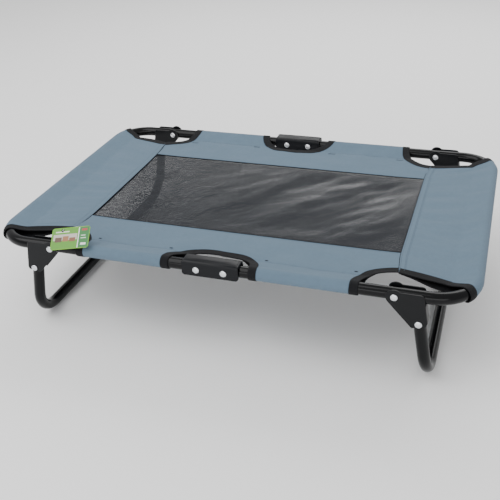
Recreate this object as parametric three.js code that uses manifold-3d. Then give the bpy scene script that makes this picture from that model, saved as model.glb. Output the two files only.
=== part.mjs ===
// Folding raised dog bed, millimetres, +Z up. The origin is on the floor under the middle of the bed.
// Two U-shaped steel tube halves meet in two moulded hand grips, where they hinge and fold down.
// Each half carries a U-shaped leg hoop on two folded brackets; the hoops fold in under the bed.
// Fabric panels slide on the tubes as sleeves and hold a sheet of open mesh between them.
import * as THREE from 'three';
import { mergeVertices } from 'three/addons/utils/BufferGeometryUtils.js';
import Module from 'manifold-3d';

const wasm = await Module();
wasm.setup();

// Steel tube, used for the frame halves and for the leg hoops
const TUBE_R = 10;
const TUBE_WALL = 1.2;
const TUBE_SIDES = 12;
const BEND_STEPS = 6;

// Frame outline, measured to the tube's centre line
const RAIL_Z = 166;
const RAIL_Y = 270;
const END_X = 413.5;
const CORNER_R = 62;

// Hand grips and their hinge rivets
const GRIP_PIVOT_X = 23.7;
const GRIP_HALF_LENGTH = 49;
const GRIP_HALF_WIDTH = 13.5;
const GRIP_TOP = 17;
const GRIP_SHOULDER = 14.5;
const GRIP_BOTTOM = -11.5;
const GRIP_CAVITY_HALF_WIDTH = 10.7;
const GRIP_CAVITY_TOP = 13.6;
const GRIP_CAVITY_END = 36;
const GRIP_MOUTH_TOP = 10.6;
const GRIP_RIB_HALF = 2;
const TUBE_END_PAST_PIVOT = 8.5;

// Leg hoops: the pivot is in the rail, the fixed rivet holds the hoop's arm in the bracket
const LEG_PIVOT_X = 298;
const RIVET_OUT = 39.2;
const RIVET_DROP = 43.4;
const LEG_SPLAY = THREE.MathUtils.degToRad(9.3);
const HOOP_BEND_R = 52;
const RAIL_TO_LEG_GAP = 0.7;

// Leg brackets, folded from one sheet
const SHEET = 1.8;
const CHEEK_INNER = 10.9;
const CHEEK_OUTER = CHEEK_INNER + SHEET;
const WEB_OUTER = 14;
const FOLD_R = 3;
const EAR_R = 13;
const CHEEK_TOP = 9.3;

// Rivets
const SHANK_R = 3;
const SHANK_HOLE_R = 3.3;
const RIVET_HEAD_R = 5.8;
const RIVET_HEAD_HEIGHT = 2.3;
const RIVET_SIDES = 10;
const GAP = 0.3;

// Fabric cover: sleeves on the tubes, flat panels inside them, binding tape round the cut-outs
const SLEEVE_IN = 10.7;
const SLEEVE_OUT = 11.7;
const PANEL_HALF = 0.8;
const PANEL_EDGE_INSET = 11.2;
const SEAM_X = 289;
const WINDOW_Y = 147;
const MESH_THICKNESS = 1;
const SPLIT_HALF_GAP = 0.15;
const BINDING_WIDTH = 13;
const BINDING_SPINE = 0.9;
const BINDING_LEAF = 0.8;
const CUTOUT_Y = 275;
const GRIP_CUTOUT = { x: 0, a: 70, b: 45 };
const CORNER_CUTOUT = { x: 322, a: 81, b: 65 };
const CUTOUT_STEPS = 20;

// Hang tag of card, leaning on the front rail by the left corner, and the nylon loop that holds it
const TAG_WIDTH = 71.4;
const TAG_DEPTH = 41;
const TAG_CORNER_R = 4;
const TAG_THICKNESS = 0.8;
const TAG_LOWER_LEFT = new THREE.Vector3(-289.3, -294, 5.2);
const TAG_TILT = THREE.MathUtils.degToRad(35);
const TAG_ROLL = THREE.MathUtils.degToRad(-10.6);
const TAG_SWING = THREE.MathUtils.degToRad(14.2);
const TAG_HOLE_R = 3;
const TAG_HOLE = new THREE.Vector3(20, 36, TAG_THICKNESS / 2);
const LOOP_ANCHOR = new THREE.Vector3(-286, -201, 3.4);
const LOOP_HALF_WIDTH = 2.5;
const LOOP_WIRE_R = 0.6;

const TALL = 80;

function solidOf(geometry) {
  const bare = geometry.clone();
  bare.deleteAttribute('normal');
  bare.deleteAttribute('uv');
  const merged = mergeVertices(bare, 1e-4);
  return new wasm.Manifold(new wasm.Mesh({
    numProp: 3,
    vertProperties: new Float32Array(merged.attributes.position.array),
    triVerts: new Uint32Array(merged.index.array),
  }));
}

function geometryOf(solid) {
  const mesh = solid.getMesh();
  const geometry = new THREE.BufferGeometry();
  geometry.setAttribute('position', new THREE.BufferAttribute(mesh.vertProperties, 3));
  geometry.setIndex(new THREE.BufferAttribute(mesh.triVerts, 1));
  geometry.computeVertexNormals();
  return geometry;
}

function boxSolid(low, high) {
  const size = new THREE.Vector3().subVectors(high, low);
  const centre = new THREE.Vector3().addVectors(low, high).multiplyScalar(0.5);
  return solidOf(new THREE.BoxGeometry(size.x, size.y, size.z).translate(centre.x, centre.y, centre.z));
}

// A shape drawn in plan (x, y), made into a slab centred on z = 0
function planSlab(shape, halfHeight) {
  const slab = new THREE.ExtrudeGeometry(shape, {
    depth: 2 * halfHeight, bevelEnabled: false, curveSegments: CUTOUT_STEPS,
  });
  return solidOf(slab.translate(0, 0, -halfHeight));
}

// A shape drawn in side view (x, z), made into a slab centred on y = 0
function sideSlab(shape, halfWidth, curveSegments) {
  const slab = new THREE.ExtrudeGeometry(shape, { depth: 2 * halfWidth, bevelEnabled: false, curveSegments });
  return solidOf(slab.rotateX(Math.PI / 2).translate(0, halfWidth, 0));
}

// A cross-hole along Y through (x, z), wide enough for a rivet's shank
function crossHole(x, y, z) {
  return solidOf(new THREE.CylinderGeometry(SHANK_HOLE_R, SHANK_HOLE_R, TALL, RIVET_SIDES).translate(x, y, z));
}

// A route of straight runs and round bends that has stations only where a tube needs them
class BentRoute extends THREE.Curve {
  constructor(corners, radius) {
    super();
    this.stations = [];
    const runs = corners.slice(1).map((corner, i) => corner.clone().sub(corners[i]).normalize());
    this.stations.push({ point: corners[0], tangent: runs[0] });
    for (let i = 1; i < corners.length - 1; i += 1) {
      this.addBend(corners[i], runs[i - 1], runs[i], radius);
    }
    this.stations.push({ point: corners.at(-1), tangent: runs.at(-1) });
  }

  addBend(corner, before, after, radius) {
    const turn = before.angleTo(after);
    const inward = after.clone().addScaledVector(before, -Math.cos(turn)).normalize();
    const start = corner.clone().addScaledVector(before, -radius * Math.tan(turn / 2));
    const centre = start.addScaledVector(inward, radius);
    for (let k = 0; k <= BEND_STEPS; k += 1) {
      const angle = (turn * k) / BEND_STEPS;
      const point = centre.clone()
        .addScaledVector(inward, -radius * Math.cos(angle))
        .addScaledVector(before, radius * Math.sin(angle));
      const tangent = before.clone().multiplyScalar(Math.cos(angle)).addScaledVector(inward, Math.sin(angle));
      this.stations.push({ point, tangent });
    }
  }

  get steps() {
    return this.stations.length - 1;
  }

  station(u) {
    return this.stations[Math.round(u * this.steps)];
  }

  getPointAt(u) {
    return this.station(u).point.clone();
  }

  getTangentAt(u) {
    return this.station(u).tangent.clone();
  }
}

// A round tube's section as a polygon whose flats lie at the true radius
function flatsRing(radius, turn = 0) {
  const points = [];
  for (let k = 0; k < TUBE_SIDES; k += 1) {
    const angle = ((k + 0.5) * 2 * Math.PI) / TUBE_SIDES + turn;
    const corner = radius / Math.cos(Math.PI / TUBE_SIDES);
    points.push(new THREE.Vector2(corner * Math.cos(angle), corner * Math.sin(angle)));
  }
  return points;
}

function tubeSolid(route, outer, inner, turn = 0) {
  const section = new THREE.Shape(flatsRing(outer, turn));
  section.holes.push(new THREE.Path(flatsRing(inner, turn)));
  return solidOf(new THREE.ExtrudeGeometry(section, { steps: route.steps, extrudePath: route }));
}

// The right half's route, from the back grip round the end of the bed to the front grip, at z = 0
function railRoute(startX) {
  return new BentRoute([
    new THREE.Vector3(startX, RAIL_Y, 0),
    new THREE.Vector3(END_X, RAIL_Y, 0),
    new THREE.Vector3(END_X, -RAIL_Y, 0),
    new THREE.Vector3(startX, -RAIL_Y, 0),
  ], CORNER_R);
}

function frameTube() {
  let tube = tubeSolid(railRoute(GRIP_PIVOT_X - TUBE_END_PAST_PIVOT), TUBE_R, TUBE_R - TUBE_WALL);
  for (const y of [-RAIL_Y, RAIL_Y]) {
    tube = tube.subtract(crossHole(GRIP_PIVOT_X, y, 0)).subtract(crossHole(LEG_PIVOT_X, y, 0));
  }
  return geometryOf(tube);
}

// The right hoop, with z = 0 at the rail's height; its arms end just under the rail
function legHoop() {
  const down = new THREE.Vector3(Math.sin(LEG_SPLAY), 0, -Math.cos(LEG_SPLAY));
  const rivet = new THREE.Vector3(LEG_PIVOT_X + RIVET_OUT, 0, -RIVET_DROP);
  const footDrop = RAIL_Z - TUBE_R;
  const topDrop = TUBE_R + RAIL_TO_LEG_GAP + TUBE_R * Math.sin(LEG_SPLAY);
  const along = (drop, y) => rivet.clone()
    .addScaledVector(down, (drop - RIVET_DROP) / Math.cos(LEG_SPLAY))
    .setY(y);
  const route = new BentRoute([
    along(topDrop, RAIL_Y),
    along(footDrop, RAIL_Y),
    along(footDrop, -RAIL_Y),
    along(topDrop, -RAIL_Y),
  ], HOOP_BEND_R);
  let hoop = tubeSolid(route, TUBE_R, TUBE_R - TUBE_WALL, -LEG_SPLAY);
  for (const y of [-RAIL_Y, RAIL_Y]) {
    hoop = hoop.subtract(crossHole(rivet.x, y, rivet.z));
  }
  return geometryOf(hoop);
}

// The bracket's side view: an ear round the pivot, a flat top and a sloping edge back to the ear
function cheekOutline() {
  const lean = Math.tan(LEG_SPLAY);
  const edgeX = (z) => RIVET_OUT - lean * (z + RIVET_DROP) + (WEB_OUTER + GAP) / Math.cos(LEG_SPLAY);
  const foot = new THREE.Vector2(29, -51.5);
  const tangentAngle = foot.angle() - Math.acos(EAR_R / foot.length()) - 2 * Math.PI;
  const earTop = Math.asin(CHEEK_TOP / EAR_R);
  const round = 7;
  const outline = new THREE.Shape();
  outline.moveTo(foot.x, foot.y);
  outline.lineTo(EAR_R * Math.cos(tangentAngle), EAR_R * Math.sin(tangentAngle));
  outline.absarc(0, 0, EAR_R, tangentAngle, earTop, true);
  outline.lineTo(edgeX(CHEEK_TOP) - round, CHEEK_TOP);
  outline.quadraticCurveTo(edgeX(CHEEK_TOP), CHEEK_TOP, edgeX(CHEEK_TOP - round), CHEEK_TOP - round);
  outline.lineTo(edgeX(-40), -40);
  outline.lineTo(50, -46.5);
  outline.closePath();
  return outline;
}

// The folded channel's section across the leg: two cheeks and the web on the outboard side
function channelSection() {
  const open = -80;
  const innerFold = FOLD_R - SHEET;
  const webInner = WEB_OUTER - SHEET;
  const section = new THREE.Shape();
  section.moveTo(open, CHEEK_INNER);
  section.lineTo(webInner - innerFold, CHEEK_INNER);
  section.absarc(webInner - innerFold, CHEEK_INNER - innerFold, innerFold, Math.PI / 2, 0, true);
  section.absarc(webInner - innerFold, innerFold - CHEEK_INNER, innerFold, 0, -Math.PI / 2, true);
  section.lineTo(open, -CHEEK_INNER);
  section.lineTo(open, -CHEEK_OUTER);
  section.absarc(WEB_OUTER - FOLD_R, FOLD_R - CHEEK_OUTER, FOLD_R, -Math.PI / 2, 0, false);
  section.absarc(WEB_OUTER - FOLD_R, CHEEK_OUTER - FOLD_R, FOLD_R, 0, Math.PI / 2, false);
  section.lineTo(open, CHEEK_OUTER);
  section.closePath();
  return section;
}

// A bracket with its pivot at the origin and its web on the +x side
function bracket() {
  const channel = new THREE.ExtrudeGeometry(channelSection(), {
    depth: 2 * TALL, bevelEnabled: false, curveSegments: 3,
  });
  channel.translate(0, 0, -TALL).rotateY(-LEG_SPLAY).translate(RIVET_OUT, 0, -RIVET_DROP);
  const railSpace = boxSolid(
    new THREE.Vector3(-TALL, -CHEEK_INNER, -TUBE_R - RAIL_TO_LEG_GAP),
    new THREE.Vector3(TALL, CHEEK_INNER, TALL),
  );
  return geometryOf(solidOf(channel)
    .intersect(sideSlab(cheekOutline(), TALL, 7))
    .subtract(railSpace)
    .subtract(crossHole(0, 0, 0))
    .subtract(crossHole(RIVET_OUT, 0, -RIVET_DROP)));
}

// A rivet along Y with a low domed head at each end; reach is the distance to the sheet under a head
function rivet(reach) {
  const under = reach + GAP;
  const head = [
    [RIVET_HEAD_R, 0],
    [RIVET_HEAD_R * 0.93, 0.5],
    [RIVET_HEAD_R * 0.62, 0.87],
    [0, 1],
  ];
  const upper = head.map(([r, h]) => new THREE.Vector2(r, under + h * RIVET_HEAD_HEIGHT));
  const lower = upper.map((p) => new THREE.Vector2(p.x, -p.y)).reverse();
  const profile = [...lower, new THREE.Vector2(SHANK_R, -under), new THREE.Vector2(SHANK_R, under), ...upper];
  return new THREE.LatheGeometry(profile, RIVET_SIDES);
}

// The hand grip's side view, with a slightly arched top and round lower corners
function gripOutline() {
  const round = 5;
  const outline = new THREE.Shape();
  outline.moveTo(-GRIP_HALF_LENGTH + round, GRIP_BOTTOM);
  outline.lineTo(GRIP_HALF_LENGTH - round, GRIP_BOTTOM);
  outline.absarc(GRIP_HALF_LENGTH - round, GRIP_BOTTOM + round, round, -Math.PI / 2, 0, false);
  outline.lineTo(GRIP_HALF_LENGTH, GRIP_SHOULDER - 3);
  outline.quadraticCurveTo(GRIP_HALF_LENGTH, GRIP_SHOULDER, GRIP_HALF_LENGTH - 4, GRIP_SHOULDER + 0.3);
  outline.quadraticCurveTo(0, 2 * GRIP_TOP - GRIP_SHOULDER - 0.3, -GRIP_HALF_LENGTH + 4, GRIP_SHOULDER + 0.3);
  outline.quadraticCurveTo(-GRIP_HALF_LENGTH, GRIP_SHOULDER, -GRIP_HALF_LENGTH, GRIP_SHOULDER - 3);
  outline.lineTo(-GRIP_HALF_LENGTH, GRIP_BOTTOM + round);
  outline.absarc(-GRIP_HALF_LENGTH + round, GRIP_BOTTOM + round, round, Math.PI, 1.5 * Math.PI, false);
  return outline;
}

// The grip's end view: flat sides and a round-shouldered top
function gripSection() {
  const shoulder = 8;
  const section = new THREE.Shape();
  section.moveTo(-GRIP_HALF_WIDTH, -TALL);
  section.lineTo(GRIP_HALF_WIDTH, -TALL);
  section.lineTo(GRIP_HALF_WIDTH, GRIP_TOP - shoulder);
  section.quadraticCurveTo(GRIP_HALF_WIDTH, GRIP_TOP - 1, 0, GRIP_TOP + 1);
  section.quadraticCurveTo(-GRIP_HALF_WIDTH, GRIP_TOP - 1, -GRIP_HALF_WIDTH, GRIP_TOP - shoulder);
  return section;
}

// A moulded channel, open below: each tube end has room to swing up inside it, and rests under
// the channel's outer ends when the bed is flat
function grip() {
  const across = new THREE.ExtrudeGeometry(gripSection(), { depth: 2 * TALL, bevelEnabled: false, curveSegments: 4 });
  across.rotateX(Math.PI / 2).rotateZ(Math.PI / 2).translate(-TALL, 0, 0);
  let body = sideSlab(gripOutline(), TALL, 4).intersect(solidOf(across));
  for (const side of [-1, 1]) {
    const pocket = [side * GRIP_RIB_HALF, side * GRIP_CAVITY_END].sort((p, q) => p - q);
    const mouth = [side * GRIP_RIB_HALF, side * TALL].sort((p, q) => p - q);
    body = body
      .subtract(boxSolid(
        new THREE.Vector3(pocket[0], -GRIP_CAVITY_HALF_WIDTH, -TALL),
        new THREE.Vector3(pocket[1], GRIP_CAVITY_HALF_WIDTH, GRIP_CAVITY_TOP),
      ))
      .subtract(boxSolid(
        new THREE.Vector3(mouth[0], -GRIP_CAVITY_HALF_WIDTH, -TALL),
        new THREE.Vector3(mouth[1], GRIP_CAVITY_HALF_WIDTH, GRIP_MOUTH_TOP),
      ))
      .subtract(crossHole(side * GRIP_PIVOT_X, 0, 0));
  }
  return geometryOf(body);
}

function cutoutShape(cutout, growth) {
  const shape = new THREE.Shape();
  shape.absellipse(cutout.x, CUTOUT_Y, cutout.a + growth, cutout.b + growth, 0, 2 * Math.PI, false, 0);
  return shape;
}

// The whole right half of the cover as if it had no cut-outs: a sleeve on the tube and a flat sheet inside
function coverSolid(sleeveIn, sleeveOut, sheetHalf) {
  const sleeve = tubeSolid(railRoute(SPLIT_HALF_GAP), sleeveOut, sleeveIn);
  const x = END_X - PANEL_EDGE_INSET;
  const y = RAIL_Y - PANEL_EDGE_INSET;
  const r = CORNER_R - PANEL_EDGE_INSET;
  const sheet = new THREE.Shape();
  sheet.moveTo(SPLIT_HALF_GAP, -y);
  sheet.lineTo(x - r, -y);
  sheet.absarc(x - r, r - y, r, -Math.PI / 2, 0, false);
  sheet.absarc(x - r, y - r, r, 0, Math.PI / 2, false);
  sheet.lineTo(SPLIT_HALF_GAP, y);
  sheet.closePath();
  return sleeve.add(planSlab(sheet, sheetHalf));
}

function cover() {
  let cloth = coverSolid(SLEEVE_IN, SLEEVE_OUT, PANEL_HALF);
  const edge = BINDING_SPINE + GAP;
  for (const cutout of [GRIP_CUTOUT, CORNER_CUTOUT]) {
    const hole = planSlab(cutoutShape(cutout, edge), TALL);
    cloth = cloth.subtract(hole).subtract(hole.rotate([180, 0, 0]));
  }
  return cloth;
}

// The right side panel along the back rail, between the grip cut-out and the corner cut-out
function sidePanel() {
  return geometryOf(cover().intersect(boxSolid(
    new THREE.Vector3(0, WINDOW_Y + SPLIT_HALF_GAP, -TALL),
    new THREE.Vector3(SEAM_X - SPLIT_HALF_GAP, 2 * RAIL_Y, TALL),
  )));
}

function endPanel() {
  return geometryOf(cover().intersect(boxSolid(
    new THREE.Vector3(SEAM_X + SPLIT_HALF_GAP, -2 * RAIL_Y, -TALL),
    new THREE.Vector3(2 * END_X, 2 * RAIL_Y, TALL),
  )));
}

function meshSheet() {
  const low = new THREE.Vector3(SPLIT_HALF_GAP, SPLIT_HALF_GAP - WINDOW_Y, -MESH_THICKNESS / 2);
  const high = new THREE.Vector3(SEAM_X - SPLIT_HALF_GAP, WINDOW_Y - SPLIT_HALF_GAP, MESH_THICKNESS / 2);
  return geometryOf(boxSolid(low, high));
}

// Tape folded over a cut-out's edge: a spine past the cloth's edge and a leaf on each side of it
function binding(cutout) {
  const slotOut = SLEEVE_OUT + GAP;
  const slotHalf = PANEL_HALF + GAP;
  const band = cutoutShape(cutout, BINDING_WIDTH);
  band.holes.push(new THREE.Path(cutoutShape(cutout, 0).getPoints(CUTOUT_STEPS)));
  const slot = coverSolid(SLEEVE_IN - GAP, slotOut, slotHalf)
    .subtract(planSlab(cutoutShape(cutout, BINDING_SPINE), TALL));
  const backHalf = boxSolid(new THREE.Vector3(0, 0, -TALL), new THREE.Vector3(2 * END_X, 2 * RAIL_Y, TALL));
  return geometryOf(coverSolid(SLEEVE_IN, slotOut + BINDING_LEAF, slotHalf + BINDING_LEAF)
    .intersect(planSlab(band, TALL))
    .intersect(backHalf)
    .subtract(slot));
}

// The tag lies in its own plane, from its lower left corner
function tagCard() {
  const r = TAG_CORNER_R;
  const card = new THREE.Shape();
  card.moveTo(r, 0);
  card.lineTo(TAG_WIDTH - r, 0);
  card.absarc(TAG_WIDTH - r, r, r, -Math.PI / 2, 0, false);
  card.absarc(TAG_WIDTH - r, TAG_DEPTH - r, r, 0, Math.PI / 2, false);
  card.absarc(r, TAG_DEPTH - r, r, Math.PI / 2, Math.PI, false);
  card.absarc(r, r, r, Math.PI, 1.5 * Math.PI, false);
  const hole = new THREE.Path();
  hole.absarc(TAG_HOLE.x, TAG_HOLE.y, TAG_HOLE_R, 0, 2 * Math.PI, false);
  card.holes.push(hole);
  return new THREE.ExtrudeGeometry(card, { depth: TAG_THICKNESS, bevelEnabled: false, curveSegments: 8 });
}

// A closed loop of nylon wire, from the tag's hole to an anchor on the binding behind it
function tagLoop(hole, normal) {
  const middle = hole.clone().lerp(LOOP_ANCHOR, 0.5);
  const route = new THREE.CatmullRomCurve3([
    LOOP_ANCHOR,
    middle.clone().addScaledVector(normal, LOOP_HALF_WIDTH),
    hole.clone().addScaledVector(normal, LOOP_HALF_WIDTH),
    hole.clone().addScaledVector(normal, -LOOP_HALF_WIDTH),
    middle.clone().addScaledVector(normal, -LOOP_HALF_WIDTH),
  ], true);
  const section = new THREE.Shape();
  section.absarc(0, 0, LOOP_WIRE_R, 0, 2 * Math.PI, false);
  return new THREE.ExtrudeGeometry(section, { steps: 18, extrudePath: route, curveSegments: 5 });
}

// Finishes
function gloss(color) {
  return new THREE.MeshStandardMaterial({ color, roughness: 0.25, metalness: 0.6 });
}

function zinc() {
  return new THREE.MeshStandardMaterial({ color: 0xc4c6c8, roughness: 0.3, metalness: 1 });
}

function cloth(color) {
  return new THREE.MeshStandardMaterial({ color, roughness: 0.9, metalness: 0 });
}

function plastic(color) {
  return new THREE.MeshStandardMaterial({ color, roughness: 0.45, metalness: 0 });
}

function addPart(parent, name, geometry, material) {
  const mesh = new THREE.Mesh(geometry, material);
  mesh.name = name;
  parent.add(mesh);
  return mesh;
}

const SIDES = [
  { name: 'left', sign: -1, turn: Math.PI },
  { name: 'right', sign: 1, turn: 0 },
];
const ROWS = [
  { name: 'front', sign: -1 },
  { name: 'back', sign: 1 },
];

// Turns a piece made for the back right quarter into any quarter: each piece is the same upside down
function quarterTurn(row, side) {
  if (row.sign > 0) {
    return new THREE.Euler(0, side.turn, 0);
  }
  return side.sign > 0 ? new THREE.Euler(Math.PI, 0, 0) : new THREE.Euler(0, 0, Math.PI);
}

function addHalf(bed, side) {
  const half = new THREE.Group();
  half.rotation.z = side.turn;
  bed.add(half);
  addPart(half, `frame_tube_${side.name}`, frameTube(), gloss(0x17181b));
  addPart(half, `leg_hoop_${side.name}`, legHoop(), gloss(0x17181b));
  addPart(half, `end_panel_${side.name}`, endPanel(), cloth(0x7e8f9d));
  addPart(half, `mesh_${side.name}`, meshSheet(), cloth(0x565c66));
}

function addQuarter(bed, row, side) {
  const place = `${row.name}_${side.name}`;
  const fabric = new THREE.Group();
  fabric.rotation.copy(quarterTurn(row, side));
  bed.add(fabric);
  addPart(fabric, `side_panel_${place}`, sidePanel(), cloth(0x7e8f9d));
  addPart(fabric, `grip_binding_${place}`, binding(GRIP_CUTOUT), cloth(0x1c1e24));
  addPart(fabric, `corner_binding_${place}`, binding(CORNER_CUTOUT), cloth(0x1c1e24));

  const leg = new THREE.Group();
  leg.position.set(side.sign * LEG_PIVOT_X, row.sign * RAIL_Y, 0);
  leg.rotation.z = side.turn;
  bed.add(leg);
  addPart(leg, `bracket_${place}`, bracket(), gloss(0x2b2e33));
  addPart(leg, `leg_pivot_${place}`, rivet(CHEEK_OUTER), zinc());
  addPart(leg, `leg_rivet_${place}`, rivet(CHEEK_OUTER), zinc()).position.set(RIVET_OUT, 0, -RIVET_DROP);
}

function addGrip(bed, row) {
  const group = new THREE.Group();
  group.position.y = row.sign * RAIL_Y;
  bed.add(group);
  addPart(group, `grip_${row.name}`, grip(), plastic(0x3a3e46));
  for (const side of SIDES) {
    const pin = addPart(group, `grip_pivot_${row.name}_${side.name}`, rivet(GRIP_HALF_WIDTH), zinc());
    pin.position.x = side.sign * GRIP_PIVOT_X;
  }
}

function addTag(bed) {
  const tag = new THREE.Group();
  tag.position.copy(TAG_LOWER_LEFT);
  tag.rotation.set(TAG_TILT, TAG_ROLL, TAG_SWING, 'ZXY');
  tag.updateMatrix();
  bed.add(tag);
  addPart(tag, 'hang_tag', tagCard(), plastic(0x94aa6d));
  const hole = TAG_HOLE.clone().applyMatrix4(tag.matrix);
  const normal = new THREE.Vector3(0, 0, 1).transformDirection(tag.matrix);
  addPart(bed, 'tag_loop', tagLoop(hole, normal), plastic(0xe8e8e6));
}

const bed = new THREE.Group();
bed.position.z = RAIL_Z;
for (const side of SIDES) {
  addHalf(bed, side);
}
for (const row of ROWS) {
  addGrip(bed, row);
  for (const side of SIDES) {
    addQuarter(bed, row, side);
  }
}

addTag(bed);

export default bed;
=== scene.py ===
"""Looks of a folding raised dog bed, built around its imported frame. Lengths are in metres."""

import logging
import math
from dataclasses import dataclass, field
from enum import Enum
from typing import Any, Callable, Optional, Sequence, Union

import bmesh
import bpy
from mathutils import Matrix, Vector, noise


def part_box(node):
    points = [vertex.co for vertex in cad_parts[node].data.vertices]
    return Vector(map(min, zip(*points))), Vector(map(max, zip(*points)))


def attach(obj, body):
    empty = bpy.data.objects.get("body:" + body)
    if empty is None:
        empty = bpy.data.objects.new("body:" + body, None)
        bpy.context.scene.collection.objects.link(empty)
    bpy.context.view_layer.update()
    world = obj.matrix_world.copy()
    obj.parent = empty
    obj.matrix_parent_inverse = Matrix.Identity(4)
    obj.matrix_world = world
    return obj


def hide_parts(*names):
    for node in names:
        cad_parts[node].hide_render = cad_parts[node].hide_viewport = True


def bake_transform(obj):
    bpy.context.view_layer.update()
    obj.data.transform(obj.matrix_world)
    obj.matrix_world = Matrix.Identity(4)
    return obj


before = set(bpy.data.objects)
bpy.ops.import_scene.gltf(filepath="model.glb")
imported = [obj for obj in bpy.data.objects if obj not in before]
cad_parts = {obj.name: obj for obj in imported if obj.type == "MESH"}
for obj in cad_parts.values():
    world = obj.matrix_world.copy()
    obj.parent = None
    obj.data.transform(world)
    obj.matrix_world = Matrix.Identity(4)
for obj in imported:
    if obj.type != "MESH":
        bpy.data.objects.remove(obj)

LOG = logging.getLogger("dog_bed")
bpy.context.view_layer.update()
MM = 0.001
MERGE_GAP = 0.02 * MM
FLAT_ANGLE = math.radians(1.0)
FLAT_UV = "Flat"


class Side(Enum):
    """Which end of the bed a piece belongs to; the value is the sign of x."""

    LEFT = -1
    RIGHT = 1

    @property
    def word(self) -> str:
        """The word used in piece names."""
        return self.name.lower()


class Row(Enum):
    """Which long rail a piece belongs to; the value is the sign of y."""

    FRONT = -1
    BACK = 1

    @property
    def word(self) -> str:
        """The word used in piece names."""
        return self.name.lower()


class Slot(Enum):
    """Names of material slots."""

    TUBE = "tube_gloss"
    BRACKET = "bracket_coat"
    ZINC = "zinc"
    GRIP = "grip_plastic"
    TAPE = "binding_tape"
    MESH = "mesh_fabric"
    PANEL = "panel_fabric"
    CARD = "tag_card"
    NYLON = "loop_nylon"


@dataclass(frozen=True)
class Layout:
    """The bed's main places, taken from the frame. The rails' centre plane is at height z."""

    tube_r: float
    rail_y: float
    end_x: float
    z: float
    foot: Vector
    rivet: Vector
    seam_x: float
    window_y: float
    corner_r: float = 62 * MM

    @classmethod
    def from_frame(cls) -> "Layout":
        """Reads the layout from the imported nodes.

        Returns:
            The filled layout.
        """
        low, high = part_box("frame_tube_right")
        radius = (high[2] - low[2]) / 2
        fixed_low, fixed_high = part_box("leg_rivet_back_right")
        mesh_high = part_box("mesh_right")[1]
        lean = math.radians(9.3)
        rivet_x = (fixed_low[0] + fixed_high[0]) / 2
        rivet_z = (fixed_low[2] + fixed_high[2]) / 2
        foot_x = rivet_x + (rivet_z - radius) * math.tan(lean)
        return cls(
            tube_r=radius,
            rail_y=high[1] - radius,
            end_x=high[0] - radius,
            z=(low[2] + high[2]) / 2,
            foot=Vector((foot_x, 0.0, radius)),
            rivet=Vector((rivet_x, 0.0, rivet_z)),
            seam_x=mesh_high[0],
            window_y=mesh_high[1],
        )

    @property
    def lean(self) -> float:
        """The leg hoop's lean from the vertical, in radians."""
        return math.atan2(self.foot.x - self.rivet.x, self.rivet.z - self.foot.z)


BED = Layout.from_frame()


# ---------------------------------------------------------------------------------------------
# Shared mesh work
# ---------------------------------------------------------------------------------------------


def object_from(bm: bmesh.types.BMesh, name: str, material: bpy.types.Material,
                smooth: Optional[float] = 40.0) -> bpy.types.Object:
    """Turns a finished bmesh into an object of the scene.

    Args:
        bm: the mesh work; it is freed here.
        name: the piece's name.
        material: the piece's material.
        smooth: the angle in degrees under which edges are shaded smooth, or None for flat.

    Returns:
        The new object, at the origin.
    """
    mesh = bpy.data.meshes.new(name)
    bm.to_mesh(mesh)
    rims = [edge.index for edge in bm.edges if edge.is_boundary]
    bm.free()
    mesh.materials.append(material)
    if smooth is not None:
        mesh.shade_smooth()
        mesh.set_sharp_from_angle(angle=math.radians(smooth))
    for rim in rims:
        mesh.edges[rim].use_edge_sharp = True
    piece = bpy.data.objects.new(name, mesh)
    bpy.context.scene.collection.objects.link(piece)
    return piece


def add_thickness(piece: bpy.types.Object, thickness: float, offset: float) -> None:
    """Gives a sheet a thickness with a live modifier.

    Args:
        piece: the sheet.
        thickness: the wall's thickness.
        offset: -1 grows it inwards, 0 both ways, 1 outwards.
    """
    wall = piece.modifiers.new("Wall", "SOLIDIFY")
    wall.thickness = thickness
    wall.offset = offset


def add_bevel(piece: bpy.types.Object, width: float, segments: int = 2, angle: float = 35.0) -> None:
    """Rounds a piece's sharp edges with a live modifier.

    Args:
        piece: the piece.
        width: the bevel's width.
        segments: the number of segments across it.
        angle: edges sharper than this many degrees are rounded.
    """
    bevel = piece.modifiers.new("Rounding", "BEVEL")
    bevel.width = width
    bevel.segments = segments
    bevel.limit_method = "ANGLE"
    bevel.angle_limit = math.radians(angle)


def mirror_into(bm: bmesh.types.BMesh, side: Side, row: Row) -> None:
    """Moves mesh work made for the back right quarter, at rail height zero, into its own quarter.

    Args:
        bm: the mesh work.
        side: the end of the bed.
        row: the rail.
    """
    bmesh.ops.scale(bm, vec=(side.value, row.value, 1.0), verts=bm.verts)
    if side.value * row.value < 0:
        bmesh.ops.reverse_faces(bm, faces=bm.faces)
    bmesh.ops.translate(bm, vec=(0.0, 0.0, BED.z), verts=bm.verts)


def settle(piece: bpy.types.Object, body: str, slot: Slot, nodes: Sequence[str] = ()) -> None:
    """Hangs a rigid piece on its body and hides the CAD nodes that it replaces.

    Args:
        piece: the finished piece.
        body: the CAD body it moves with.
        slot: not used.
        nodes: the CAD nodes that it replaces.
    """
    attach(piece, body)
    if nodes:
        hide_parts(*nodes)
    LOG.info("%s rides on %s", piece.name, body)


def settle_fold(piece: bpy.types.Object, side: Side, slot: Slot, nodes: Sequence[str] = ()) -> None:
    """Bakes a cloth piece's place into its mesh, leaving it on no body, and hides the CAD nodes that it
    replaces.

    Args:
        piece: the finished piece.
        side: the frame half's end.
        slot: not used.
        nodes: the CAD nodes that it replaces.
    """
    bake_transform(piece)
    if nodes:
        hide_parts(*nodes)
    LOG.info("%s bends between frame_%s and the grips", piece.name, side.word)


# ---------------------------------------------------------------------------------------------
# Node helpers and shared effects
# ---------------------------------------------------------------------------------------------


Value = Union[float, Sequence[float], bpy.types.NodeSocket]


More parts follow.
